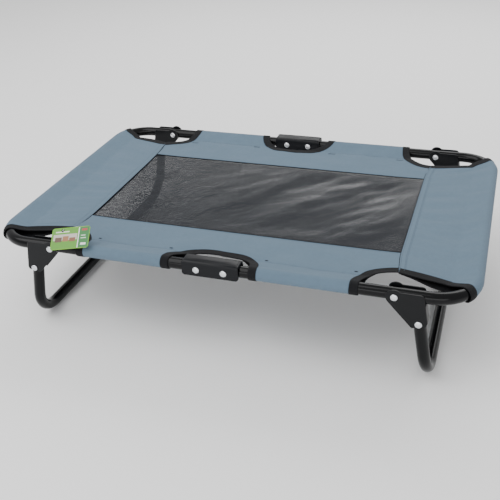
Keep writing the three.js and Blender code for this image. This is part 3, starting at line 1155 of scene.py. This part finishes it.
GRIP_CUT_DEEP = TUNNEL.stitch + 5 * MM
CORNER_CUT_DEEP = TUNNEL.stitch + 26 * MM
GRIP_CUT = {
    (Side.LEFT, Row.FRONT): Cutout(0.0, 76 * MM, GRIP_CUT_DEEP, 3.0),
    (Side.RIGHT, Row.FRONT): Cutout(0.0, 65 * MM, GRIP_CUT_DEEP, 3.0),
    (Side.LEFT, Row.BACK): Cutout(0.0, 69 * MM, GRIP_CUT_DEEP, 2.6),
    (Side.RIGHT, Row.BACK): Cutout(0.0, 69 * MM, GRIP_CUT_DEEP, 2.4),
}
CORNER_CUT = {
    (side, row): Cutout(322 * MM, 75 * MM if (side, row) == (Side.LEFT, Row.FRONT) else 81 * MM,
                        CORNER_CUT_DEEP, 2.9)
    for side in Side for row in Row
}


def patch(name: str, material: bpy.types.Material, size: tuple, place: Place,
          flat: Place, finish: Callable[[bmesh.types.BMesh], None]) -> bpy.types.Object:
    """Lays a rectangular grid over a curved sheet.

    Args:
        name: the piece's name.
        material: its material.
        size: the number of cells each way.
        place: gives the point for two shares from 0 to 1.
        flat: gives the flat cloth coordinates for two shares, in metres.
        finish: last mesh work before the object is made.

    Returns:
        The sheet's object, without thickness.
    """
    bm = bmesh.new()
    bmesh.ops.create_grid(bm, x_segments=size[0], y_segments=size[1], size=1.0)
    layer = bm.loops.layers.uv.new(FLAT_UV)
    for face in bm.faces:
        for loop in face.loops:
            a, b = (loop.vert.co.x + 1) / 2, (loop.vert.co.y + 1) / 2
            loop[layer].uv = flat(a, b)[:2]
    for vert in bm.verts:
        vert.co = place((vert.co.x + 1) / 2, (vert.co.y + 1) / 2)
    finish(bm)
    return object_from(bm, name, material, smooth=70)


def lifted(place: Place, a: float, b: float, height: float, step: float = 0.0006) -> Vector:
    """Gives a point of a sheet moved off along its normal.

    Args:
        place: the sheet.
        a: first coordinate.
        b: second coordinate.
        height: how far to move; positive is to the outside.
        step: the step used to measure the slope.

    Returns:
        The moved point.
    """
    along = place(a + step, b) - place(a - step, b)
    across = place(a, b + step) - place(a, b - step)
    return place(a, b) + along.cross(across).normalized() * height


PUCKER_PITCH = 9 * MM
WINDOW_CALM = 35 * MM


def near_stitch(s: float) -> float:
    """Tells how close a place is to the sleeve's stitch line, where the cloth puckers.

    Args:
        s: flat distance from the fold line.

    Returns:
        1 on the line, falling to 0 within about two widths of a pucker.
    """
    return math.exp(-((abs(s) - TUNNEL.stitch) / PUCKER_PITCH) ** 2)


@dataclass(frozen=True)
class Sag:
    """How the cloth hangs and waves between the rails."""

    depth: float = 3.5 * MM
    wave: float = 5.6 * MM
    full: float = 190 * MM
    calm: float = 55 * MM
    tight: float = 6 * MM

    def at(self, x: float, y: float) -> float:
        """Gives the cloth's height.

        Args:
            x: place along the bed.
            y: place across the bed.

        Returns:
            The height above the rails' centre plane.
        """
        across = smooth(BED.rail_y - abs(y), 30 * MM, self.full)
        along = smooth(BED.end_x - abs(x), 35 * MM, self.full)
        long_wave = ripple(x * 0.8 - y * 0.55, (y + x) * 0.22, 70 * MM, 3.3)
        short_wave = ripple(x - y, (y + x) * 0.4, 34 * MM, 8.1) * 0.26
        inside = smooth(BED.window_y - abs(y), -self.tight, self.calm)
        inside *= smooth(BED.seam_x - abs(x), -self.tight, self.calm)
        return across * along * (-self.depth + self.wave * inside * (long_wave + short_wave))


SAG = Sag()


@dataclass(frozen=True)
class SidePanel:
    """The blue cloth along a quarter of the bed, from its sleeve to the window."""

    side: Side
    row: Row
    low: float = SIDE_TURN
    high: float = SIDE_DEPTH
    thickness: float = 0.6 * MM
    pucker: float = 0.95 * MM
    wrinkle: float = 1.8 * MM

    @property
    def seed(self) -> float:
        """The row's own ripple pattern."""
        return 1.7 * self.row.value + 7

    def at(self, x: float, s: float) -> Vector:
        """Gives a point of the cloth, as if in the back right quarter at rail height zero.

        Args:
            x: distance from the bed's middle.
            s: flat distance from the fold line, positive over the top.

        Returns:
            The point.
        """
        out, up = TUNNEL.at(s)
        y = BED.rail_y + out
        true_x = self.side.value * x
        up += near_stitch(s) * self.pucker * ripple(true_x, abs(s) * 0.3, PUCKER_PITCH, self.seed)
        loose = smooth(abs(s), TUNNEL.arc - 4 * MM, TUNNEL.arc + 12 * MM)
        loose *= 1 - smooth(abs(s), SIDE_DEPTH - WINDOW_CALM, SIDE_DEPTH)
        up += loose * self.wrinkle * ripple(true_x * 0.9, abs(s), 34 * MM, self.seed + 2)
        if abs(s) > TUNNEL.stitch:
            up += SAG.at(true_x, self.row.value * y)
        return Vector((x, y, up))

    def limits(self, s: float) -> tuple:
        """Gives the cloth's ends along the rail.

        Args:
            s: flat distance from the fold line.

        Returns:
            The nearest and the farthest x.
        """
        corner = CORNER_CUT[self.side, self.row]
        far = corner.centre - corner.width_at(s)
        seam = seam_at(BED.rail_y + TUNNEL.at(s)[0])
        return GRIP_CUT[self.side, self.row].width_at(s), min(seam, far)

    def share(self, a: float, b: float) -> tuple:
        """Turns two shares of the panel into its flat coordinates.

        Args:
            a: share of the way along the rail.
            b: share of the way from under the rail to the window.

        Returns:
            x and s.
        """
        s = self.low + b * (self.high - self.low)
        near, far = self.limits(s)
        return near + (far - near) * a, s

    def build(self, name: str, cloth: bpy.types.Material, nodes: Sequence[str]) -> None:
        """Builds the cloth.

        Args:
            name: the start of the piece's name.
            cloth: its material.
            nodes: the CAD nodes that it replaces.
        """
        place = f"{self.row.word}_{self.side.word}"
        panel = patch(f"{name}_{place}", cloth, (96, 104 if self.high > TUNNEL.stitch else 40),
                      lambda a, b: self.at(*self.share(a, b)),
                      lambda a, b: Vector((*self.share(a, b), 0)),
                      lambda bm: mirror_into(bm, self.side, self.row))
        add_thickness(panel, self.thickness, 0.0)
        far = max(self.limits(self.low)[1], self.limits(self.high)[1])
        near = min(self.limits(self.low)[0], self.limits(self.high)[0])
        settle_fold(panel, self.side, Slot.PANEL, nodes)


@dataclass(frozen=True)
class EndPanel:
    """The blue cloth across one end of the bed, with its sleeve on the end rail."""

    side: Side
    thickness: float = 0.6 * MM
    turn: float = 16 * MM
    seam_half: float = 210.5 * MM
    flare: float = 2.2 * MM
    droop: float = 9.5 * MM
    lining_gap: float = 1.3 * MM
    pucker: float = 0.25 * MM
    wrinkle: float = 2.3 * MM

    @property
    def window(self) -> float:
        """Flat distance from the fold line to the seam."""
        return TUNNEL.stitch + BED.end_x - TUNNEL.reach - BED.seam_x

    def reach_at(self, s: float) -> float:
        """Gives how far round the bend the sleeve goes.

        Args:
            s: flat distance from the fold line.

        Returns:
            Half the sleeve's length along the rail's centre line.
        """
        inboard = smooth(abs(s), TUNNEL.arc, TUNNEL.stitch)
        angle = 39.5 + (10.5 if s > 0 else 22.5) * inboard
        return BED.rail_y - BED.corner_r + BED.corner_r * math.radians(angle)

    def rail(self, p: float) -> tuple:
        """Gives a place on the end rail's centre line.

        Args:
            p: length along the centre line from the middle.

        Returns:
            The point and the outward direction.
        """
        straight = BED.rail_y - BED.corner_r
        sign = math.copysign(1.0, p)
        if abs(p) <= straight:
            return Vector((BED.end_x, p, 0)), Vector((1, 0, 0))
        angle = (abs(p) - straight) / BED.corner_r
        normal = Vector((math.cos(angle), sign * math.sin(angle), 0))
        return Vector((BED.end_x - BED.corner_r, sign * straight, 0)) + normal * BED.corner_r, normal

    def at(self, u: float, s: float) -> Vector:
        """Gives a point of the cloth, as if in the right half at rail height zero.

        Args:
            u: share of the way from the middle to the edge, -1 to 1.
            s: flat distance from the fold line, positive over the top.

        Returns:
            The point.
        """
        seed = 5.3 + self.side.value
        limit = self.reach_at(min(abs(s), TUNNEL.stitch) * (1 if s > 0 else -1))
        centre, normal = self.rail(u * limit)
        out, up = TUNNEL.at(s)
        mouth = smooth(abs(u), 0.9, 1.0) * self.flare * smooth(-s, -30 * MM, 10 * MM)
        out, up = out * (1 + mouth / TUNNEL.radius), up * (1 + 0.7 * mouth / TUNNEL.radius)
        if s < 0:
            up -= self.lining_gap * smooth(-s, TUNNEL.stitch, TUNNEL.stitch + 20 * MM)
            hang = smooth(abs(u), 0.72, 1.0) * smooth(-s, TUNNEL.arc, TUNNEL.stitch)
            up -= self.droop * hang * (1 - smooth(-s, TUNNEL.stitch, self.window))
        up += near_stitch(s) * self.pucker * ripple(u * limit, abs(s) * 0.3, PUCKER_PITCH, seed)
        loose = smooth(abs(s), TUNNEL.arc - 10 * MM, TUNNEL.arc + 12 * MM)
        loose *= 1 - smooth(abs(s), self.window - WINDOW_CALM, self.window)
        up += loose * self.wrinkle * ripple(u * limit, abs(s) * 0.3, 26 * MM, seed + 2)
        if abs(s) <= TUNNEL.stitch:
            return centre + normal * out + Vector((0, 0, up))
        start = centre - normal * TUNNEL.reach
        t = (abs(s) - TUNNEL.stitch) / (self.window - TUNNEL.stitch)
        goal = Vector((seam_at(u * self.seam_half), u * self.seam_half, 0))
        point = start.lerp(goal, t)
        return point + Vector((0, 0, up + SAG.at(self.side.value * point.x, point.y)))

    def build(self, finishes: Finishes) -> None:
        """Builds the cloth and the layer under it, which is painted near black for the shade inside the
        sleeve.

        Args:
            finishes: the bed's materials.
        """
        half = self.reach_at(0.0)
        body = f"frame_{self.side.word}"
        # The second piece is the sleeve's underside, painted near black for the shade inside it.
        for name, low, high, cloth in (("end_cloth", -self.turn, self.window, finishes.panel),
                                       ("end_lining", -self.window, -self.turn, finishes.lining)):
            piece = patch(f"{name}_{self.side.word}", cloth, (190, 90),
                          lambda a, b: self.at(2 * a - 1, low + b * (high - low)),
                          lambda a, b: Vector(((2 * a - 1) * half, b * (high - low), 0)),
                          lambda bm: mirror_into(bm, self.side, Row.BACK))
            add_thickness(piece, self.thickness, 0.0)
            settle(piece, body, Slot.PANEL)
            2 * self.reach_at(-TUNNEL.stitch)
        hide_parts(f"end_panel_{self.side.word}")


@dataclass(frozen=True)
class MeshSheet:
    """The open mesh of one half of the window."""

    side: Side
    thickness: float = 0.7 * MM
    tuck: float = 4 * MM

    def at(self, x: float, y: float) -> Vector:
        """Gives a point of the mesh, as if in the right half at rail height zero.

        Args:
            x: distance from the bed's middle.
            y: place across the bed.

        Returns:
            The point.
        """
        tucked = smooth(x, BED.seam_x - self.tuck, BED.seam_x)
        tucked += smooth(abs(y), BED.window_y - self.tuck, BED.window_y)
        drop = (0.3 + 1.1 * min(1.0, tucked)) * MM
        return Vector((x, y, SAG.at(self.side.value * x, y) - drop))

    def build(self, finishes: Finishes) -> None:
        """Builds the mesh.

        Args:
            finishes: the bed's materials.
        """
        wide, deep = BED.seam_x + self.tuck, BED.window_y + self.tuck
        sheet = patch(f"mesh_cloth_{self.side.word}", finishes.net, (120, 120),
                      lambda a, b: self.at(a * wide, (2 * b - 1) * deep),
                      lambda a, b: Vector((a * wide, (2 * b - 1) * deep, 0)),
                      lambda bm: mirror_into(bm, self.side, Row.BACK))
        add_thickness(sheet, self.thickness, 0.0)
        settle_fold(sheet, self.side, Slot.MESH, [f"mesh_{self.side.word}"])


@dataclass(frozen=True)
class Tape:
    """Black tape folded over an edge of the cloth."""

    width: float = 13 * MM
    lift: float = 0.75 * MM
    wall: float = 0.4 * MM
    turn: float = 0.12

    def section(self, t: float) -> tuple:
        """Gives the tape's cross-section.

        Args:
            t: share of the way across, from the outer leaf to the inner leaf.

        Returns:
            The distance in from the edge and the height off the cloth.
        """
        leaf = 0.5 - self.turn
        if t < leaf:
            return self.width * (1 - t / leaf), self.lift
        if t > 0.5 + self.turn:
            return self.width * (t - 0.5 - self.turn) / leaf, -self.lift
        angle = math.pi * (t - leaf) / (2 * self.turn)
        return -1.2 * self.lift * math.sin(angle), self.lift * math.cos(angle)


TAPE = Tape()


def cut_tape(panel: SidePanel, cut: Cutout, angles: tuple, name: str, finishes: Finishes,
             bends: bool, nodes: Sequence[str]) -> None:
    """Binds one opening's edge on a side panel.

    Args:
        panel: the panel.
        cut: the opening.
        angles: where the tape starts and ends on the opening's edge.
        name: the piece's name.
        finishes: the bed's materials.
        bends: True when the tape runs into the fold.
        nodes: the CAD nodes that it replaces.
    """

    def on_cloth(a: float, b: float) -> tuple:
        """Finds a point of the tape over the flat cloth.

        Args:
            a: share of the way along the tape.
            b: share of the way across it.

        Returns:
            x and s on the cloth, and the height off it.
        """
        angle = angles[0] + (angles[1] - angles[0]) * a
        x, s, dx, ds = cut.edge(angle)
        inward, height = TAPE.section(b)
        wave = 0.7 * MM * ripple(a * 9, 0.0, 1.0, panel.seed) if inward > TAPE.width * 0.6 else 0.0
        return x + dx * (inward + wave), s + ds * (inward + wave), height

    def place(a: float, b: float) -> Vector:
        """Lays the tape on the curved cloth.

        Args:
            a: share of the way along.
            b: share of the way across.

        Returns:
            The point.
        """
        x, s, height = on_cloth(a, b)
        return lifted(panel.at, max(0.0, x), s, -height)

    def flat(a: float, b: float) -> Vector:
        """Gives the tape's own flat coordinates for its weave."""
        return Vector((a * 0.3, b * 2 * TAPE.width, 0))

    tape = patch(name, finishes.tape, (110, 22), place, flat,
                 lambda bm: mirror_into(bm, panel.side, panel.row))
    add_thickness(tape, TAPE.wall, 0.0)
    if bends:
        settle_fold(tape, panel.side, Slot.TAPE, nodes)
    else:
        settle(tape, f"frame_{panel.side.word}", Slot.TAPE, nodes)


def end_tape(panel: EndPanel, row: Row, name: str, finishes: Finishes) -> None:
    """Binds one edge of an end panel.

    Args:
        panel: the panel.
        row: the edge's row.
        name: the piece's name.
        finishes: the bed's materials.
    """
    low = 6 * MM - panel.window
    high = panel.window - 1 * MM

    def place(a: float, b: float) -> Vector:
        """Lays the tape on the panel's curved edge.

        Args:
            a: share of the way along.
            b: share of the way across.

        Returns:
            The point.
        """
        s = low + (high - low) * a
        inward, height = TAPE.section(b)
        span = (panel.at(row.value, s) - panel.at(row.value * 0.98, s)).length / 0.02
        return lifted(panel.at, row.value * (1.0 - inward / span), s, height)

    tape = patch(name, finishes.tape, (120, 22), place,
                 lambda a, b: Vector((a * (high - low), b * 2 * TAPE.width, 0)),
                 lambda bm: mirror_into(bm, panel.side, Row.BACK))
    add_thickness(tape, TAPE.wall, 0.0)
    settle(tape, f"frame_{panel.side.word}", Slot.TAPE)


def cord(name: str, material: bpy.types.Material, line: Callable[[float], Vector], cells: int,
         radius: float, side: Side, row: Row) -> bpy.types.Object:
    """Runs a thin round cord along a line.

    Args:
        name: the piece's name.
        material: its material.
        line: gives a point of the line for a share from 0 to 1.
        cells: the number of cells along it.
        radius: the cord's radius.
        side: the end it is placed at.
        row: the row it is placed at.

    Returns:
        The cord's object.
    """

    def place(a: float, b: float) -> Vector:
        """Gives a point of the cord's puckered surface.

        Args:
            a: share of the way along.
            b: share of the way across.

        Returns:
            The point.
        """
        step = 0.5 / cells
        ahead = (line(min(1.0, a + step)) - line(max(0.0, a - step))).normalized()
        across = ahead.cross(Vector((0, 0, 1))).normalized()
        angle = math.tau * b
        pucker = 1 + 0.18 * math.sin(1.3 * a * cells)
        swing = across * math.cos(angle) + across.cross(ahead) * math.sin(angle)
        return line(a) + swing * radius * pucker

    def close(bm: bmesh.types.BMesh) -> None:
        """Closes the cord's seam and ends and moves it to its quarter.

        Args:
            bm: the cord's mesh work.
        """
        bmesh.ops.remove_doubles(bm, verts=bm.verts, dist=0.00001)
        bmesh.ops.holes_fill(bm, edges=[e for e in bm.edges if e.is_boundary], sides=12)
        bmesh.ops.recalc_face_normals(bm, faces=bm.faces)
        mirror_into(bm, side, row)

    return patch(name, material, (cells, 8), place, lambda a, b: Vector((a, b * 0.01, 0)), close)


@dataclass
class Sewing:
    """Collects single stitches and makes them into one piece."""

    length: float = 2.5 * MM
    width: float = 0.36 * MM
    bm: bmesh.types.BMesh = field(default_factory=bmesh.new)

    def stitch(self, start: Vector, end: Vector) -> None:
        """Adds one stitch.

        Args:
            start: where the thread comes up.
            end: where it goes down.
        """
        turn = (end - start).to_track_quat("X", "Z").to_matrix().to_4x4()
        size = Matrix.Diagonal(((end - start).length / 2, self.width, self.width, 1.0))
        place = Matrix.Translation((start + end) / 2) @ turn @ size
        bmesh.ops.create_icosphere(self.bm, subdivisions=1, radius=1.0, matrix=place)

    def row(self, line: Callable[[float], Vector], length: float, pitch: float = 3.6 * MM) -> None:
        """Adds a row of stitches.

        Args:
            line: gives a point of the row for a share from 0 to 1.
            length: the row's length.
            pitch: the distance from stitch to stitch.
        """
        count = max(2, int(length / pitch))
        for k in range(count):
            start = k / count
            self.stitch(line(start), line(start + self.length / length))

    def tack(self, place: Place, x: float, s: float, size: tuple) -> None:
        """Adds a bar tack of slanting stitches.

        Args:
            place: the cloth, lifted off a little.
            x: the tack's middle along the rail.
            s: the tack's middle across the cloth.
            size: its length and width.
        """
        for k in range(9):
            left = x + size[0] * (k / 8 - 0.5)
            tip = size[1] * (0.5 if k % 2 else -0.5)
            self.stitch(place(left - 0.8 * MM, s - tip), place(left + 0.8 * MM, s + tip))


THREAD_LIFT = 0.42 * MM


def sew_quarter(panel: SidePanel, finishes: Finishes) -> None:
    """Adds the stitches, tacks and window-edge cord of a side panel; the black cord is partly the mesh's own
    dark edge and partly painted shadow of the hem's fold.

    Args:
        panel: the panel.
        finishes: the bed's materials.
    """
    where = f"{panel.row.word}_{panel.side.word}"

    def over(x: float, s: float) -> Vector:
        """Gives a point just above the cloth.

        Args:
            x: distance from the bed's middle.
            s: flat distance from the fold line.

        Returns:
            The point.
        """
        return lifted(panel.at, x, s, -THREAD_LIFT)

    margin = 15 * MM
    low, high = panel.limits(TUNNEL.stitch)
    low, high = max(low, 64 * MM) + margin, high - margin
    rigid = Sewing()
    line = TUNNEL.stitch + 1 * MM
    rigid.row(lambda t: over(low + (high - low) * min(1.0, t), line), high - low)
    mirror_into(rigid.bm, panel.side, panel.row)
    settle(object_from(rigid.bm, f"tunnel_stitches_{where}", finishes.thread, 80),
           f"frame_{panel.side.word}", Slot.PANEL)
    tacks = Sewing(width=0.42 * MM)
    grip_end = GRIP_CUT[panel.side, panel.row].half
    size = (4.5 * MM, 3.5 * MM) if panel.row is Row.FRONT else (13 * MM, 4.5 * MM)
    tacks.tack(over, grip_end + margin, TUNNEL.stitch + 7 * MM, size)
    tacks.tack(over, 229 * MM, TUNNEL.stitch + 9 * MM, size)
    mirror_into(tacks.bm, panel.side, panel.row)
    settle(object_from(tacks.bm, f"bar_tacks_{where}", finishes.dark_thread, 80),
           f"frame_{panel.side.word}", Slot.TAPE)
    edge = Sewing()
    reach = BED.seam_x - 4 * MM
    edge.row(lambda t: over(min(1.0, t) * reach, SIDE_DEPTH - 3.5 * MM), reach)
    mirror_into(edge.bm, panel.side, panel.row)
    stitches = object_from(edge.bm, f"window_stitches_{where}", finishes.thread, 80)
    settle_fold(stitches, panel.side, Slot.PANEL)
    # Black cord along the window: partly the mesh's own dark edge, partly painted shadow of the hem's fold.
    edge_and_shadow_cord = cord(f"window_piping_{where}", finishes.tape,
                  lambda t: panel.at(t * BED.seam_x, SIDE_DEPTH) + Vector((0, 0, 0.2 * MM)),
                  150, 0.85 * MM, panel.side, panel.row)
    settle_fold(edge_and_shadow_cord, panel.side, Slot.TAPE)


def sew_end(panel: EndPanel, finishes: Finishes) -> None:
    """Adds the seam strip, a black cord of painted shadow along the seam and the stitches of an end panel.

    Args:
        panel: the panel.
        finishes: the bed's materials.
    """
    body = f"frame_{panel.side.word}"
    width = 12 * MM
    inner = 0.965

    def strip_place(a: float, b: float) -> Vector:
        """Lays the strip along the seam.

        Args:
            a: share of the way along.
            b: share of the way across.

        Returns:
            The point.
        """
        across = panel.window + 0.5 * MM - width * b
        return lifted(panel.at, (2 * a - 1) * inner, across, 0.62 * MM)

    strip = patch(f"seam_strip_{panel.side.word}", finishes.panel, (150, 8), strip_place,
                  lambda a, b: Vector((a * 0.42, b * width, 0)),
                  lambda bm: mirror_into(bm, panel.side, Row.BACK))
    add_thickness(strip, 0.45 * MM, 0.0)
    settle(strip, body, Slot.PANEL)
    # Painted shadow: the black cord along the strip's inner edge stands for the shadow of the seam's step.
    offset = Vector((-0.6 * MM, 0, 0.35 * MM))
    edge_and_shadow_cord = cord(f"seam_piping_{panel.side.word}", finishes.tape,
                  lambda t: panel.at((2 * t - 1) * 0.985, panel.window) + offset,
                  230, 0.7 * MM, panel.side, Row.BACK)
    settle(edge_and_shadow_cord, body, Slot.TAPE)
    sewing = Sewing()
    for inset in (2.2 * MM, 9.6 * MM):
        sewing.row(lambda t, line=panel.window - inset: lifted(
            panel.at, (2 * min(1.0, t) - 1) * inner, line, 0.95 * MM), 0.405)
    mirror_into(sewing.bm, panel.side, Row.BACK)
    stitches = object_from(sewing.bm, f"end_stitches_{panel.side.word}", finishes.thread, 80)
    settle(stitches, body, Slot.PANEL)


@dataclass
class Cover:
    """All the cloth."""

    def build(self, finishes: Finishes) -> None:
        """Builds the cloth, its tapes and its mesh.

        Args:
            finishes: the bed's materials.
        """
        for side in Side:
            end = EndPanel(side)
            end.build(finishes)
            sew_end(end, finishes)
            MeshSheet(side).build(finishes)
            for row in Row:
                where = f"{row.word}_{side.word}"
                panel = SidePanel(side, row)
                panel.build("side_cloth", finishes.panel, [f"side_panel_{where}"])
                # The sleeve's underside, painted near black for the shade inside it.
                lining = SidePanel(side, row, -TUNNEL.stitch - 12 * MM, SIDE_TURN)
                lining.build("side_lining", finishes.lining, [])
                cut_tape(panel, GRIP_CUT[side, row], (-0.95, math.pi / 2), f"grip_tape_{where}",
                         finishes, True, [f"grip_binding_{where}"])
                corner = CORNER_CUT[side, row]
                cut_tape(panel, corner, (math.pi + 0.8, corner.angle_at(294 * MM)),
                         f"corner_tape_{where}", finishes, False, [f"corner_binding_{where}"])
                end_tape(end, row, f"end_tape_{where}", finishes)
                sew_quarter(panel, finishes)


# ---------------------------------------------------------------------------------------------
# Hang tag
# ---------------------------------------------------------------------------------------------


@dataclass
class HangTag:
    """The printed card and its loop."""

    card_rounding: float = 0.15 * MM
    loop_rounding: float = 0.1 * MM

    def build(self, finishes: Finishes) -> None:
        """Builds the card and the loop.

        Args:
            finishes: the bed's materials.
        """
        bm = merged_copy("hang_tag")
        front = max((f for f in bm.faces if f.normal.z > 0), key=lambda f: f.calc_area())
        up = front.normal.copy()
        longest = max(front.edges, key=lambda e: e.calc_length())
        right = (longest.verts[1].co - longest.verts[0].co).normalized()
        right = right if right.x > 0 else -right
        high = up.cross(right)
        low_right = min(v.co.dot(right) for v in front.verts)
        low_high = min(v.co.dot(high) for v in front.verts)
        layer = bm.loops.layers.uv.new(FLAT_UV)
        for face in bm.faces:
            for loop in face.loops:
                spot = loop.vert.co
                loop[layer].uv = (spot.dot(right) - low_right, spot.dot(high) - low_high)
        wide = max(v.co.dot(right) for v in front.verts) - low_right
        tall = max(v.co.dot(high) for v in front.verts) - low_high
        card = object_from(bm, "swing_card", CardFinish(wide, tall).material(), smooth=35)
        add_bevel(card, self.card_rounding, 2)
        settle(card, "tag", Slot.CARD, ["hang_tag"])
        loop_piece = copy_of("tag_loop", "nylon_loop", finishes.nylon, self.loop_rounding, 1)
        settle(loop_piece, "tag", Slot.NYLON, ["tag_loop"])


# ---------------------------------------------------------------------------------------------
# Room
# ---------------------------------------------------------------------------------------------


@dataclass(frozen=True)
class Lamp:
    """A soft area light: its place, the point it faces, its width and height, and its watts."""

    name: str
    place: tuple
    aim: tuple
    size: tuple
    power: float


LAMPS = (
    Lamp("key", (-1.2, -1.0, 2.4), (0, 0, 0.15), (2.4, 2.4), 58),
    Lamp("back", (0.3, 2.0, 1.9), (0, 0, 0.15), (3.0, 1.4), 46),
    Lamp("front", (0.3, -2.4, 0.7), (0, 0, 0.1), (3.0, 0.8), 22),
)


@dataclass
class Studio:
    """Camera, floor and soft lights."""

    azimuth: float = 19.84
    elevation: float = 30.23
    distance: float = 1286.16 * MM
    roll: float = -2.957
    lens: float = 54.66
    sky: float = 0.78
    floor_half: float = 8.0
    floor_gap: float = 0.5 * MM
    target: Vector = field(default_factory=lambda: Vector((0.04198, -0.20018, BED.z)))

    def camera(self) -> None:
        """Places the camera and makes it the scene's."""
        az, el, roll = map(math.radians, (self.azimuth, self.elevation, self.roll))
        back = Vector((math.sin(az) * math.cos(el), -math.cos(az) * math.cos(el), math.sin(el)))
        right = (-back).cross(Vector((0, 0, 1))).normalized()
        up = back.cross(right)
        turned_right = right * math.cos(roll) + up * math.sin(roll)
        turned_up = up * math.cos(roll) - right * math.sin(roll)
        data = bpy.data.cameras.new("camera")
        data.lens = self.lens
        data.sensor_width = 36
        data.clip_start, data.clip_end = 0.05, 50
        camera = bpy.data.objects.new("camera", data)
        matrix = Matrix((turned_right, turned_up, back)).transposed().to_4x4()
        camera.matrix_world = Matrix.Translation(self.target + back * self.distance) @ matrix
        bpy.context.scene.collection.objects.link(camera)
        bpy.context.scene.camera = camera

    def light(self, lamp: Lamp) -> None:
        """Adds a soft area light.

        Args:
            lamp: the light's values.
        """
        data = bpy.data.lights.new(lamp.name, "AREA")
        data.shape = "RECTANGLE"
        data.size, data.size_y = lamp.size
        data.energy = lamp.power
        light = bpy.data.objects.new(lamp.name, data)
        light.location = lamp.place
        light.rotation_euler = (Vector(lamp.aim) - Vector(lamp.place)).to_track_quat("-Z", "Y").to_euler()
        bpy.context.scene.collection.objects.link(light)

    def floor(self) -> None:
        """Lays the floor; it is clear from below, so the bed can be seen from under it."""
        bm = bmesh.new()
        bmesh.ops.create_grid(bm, x_segments=1, y_segments=1, size=self.floor_half)
        bmesh.ops.translate(bm, vec=(0, 0, -self.floor_gap), verts=bm.verts)
        material, w, shader = new_material("pale_floor")
        shader.inputs["Base Color"].default_value = (0.9, 0.9, 0.9, 1)
        shader.inputs["Roughness"].default_value = 0.9
        behind = w.add("NewGeometry").outputs["Backfacing"]
        w.tree.links.new(w.math("SUBTRACT", 1.0, behind), shader.inputs["Alpha"])
        object_from(bm, "floor", material, smooth=None)

    def build(self) -> None:
        """Builds the room."""
        self.camera()
        self.floor()
        world = bpy.data.worlds.new("room")
        world.use_nodes = True
        background = world.node_tree.nodes["Background"]
        background.inputs["Color"].default_value = (1.0, 1.0, 1.0, 1)
        background.inputs["Strength"].default_value = self.sky
        bpy.context.scene.world = world
        for lamp in LAMPS:
            self.light(lamp)


def main() -> None:
    """Builds the whole scene."""
    logging.basicConfig(level=logging.INFO, format="%(message)s")
    finishes = Finishes()
    for side in Side:
        FrameRail(side).build(finishes)
        LegHoop(side).build(finishes)
    Hardware().build(finishes)
    Cover().build(finishes)
    HangTag().build(finishes)
    Studio().build()


if __name__ == "__main__":
    main()
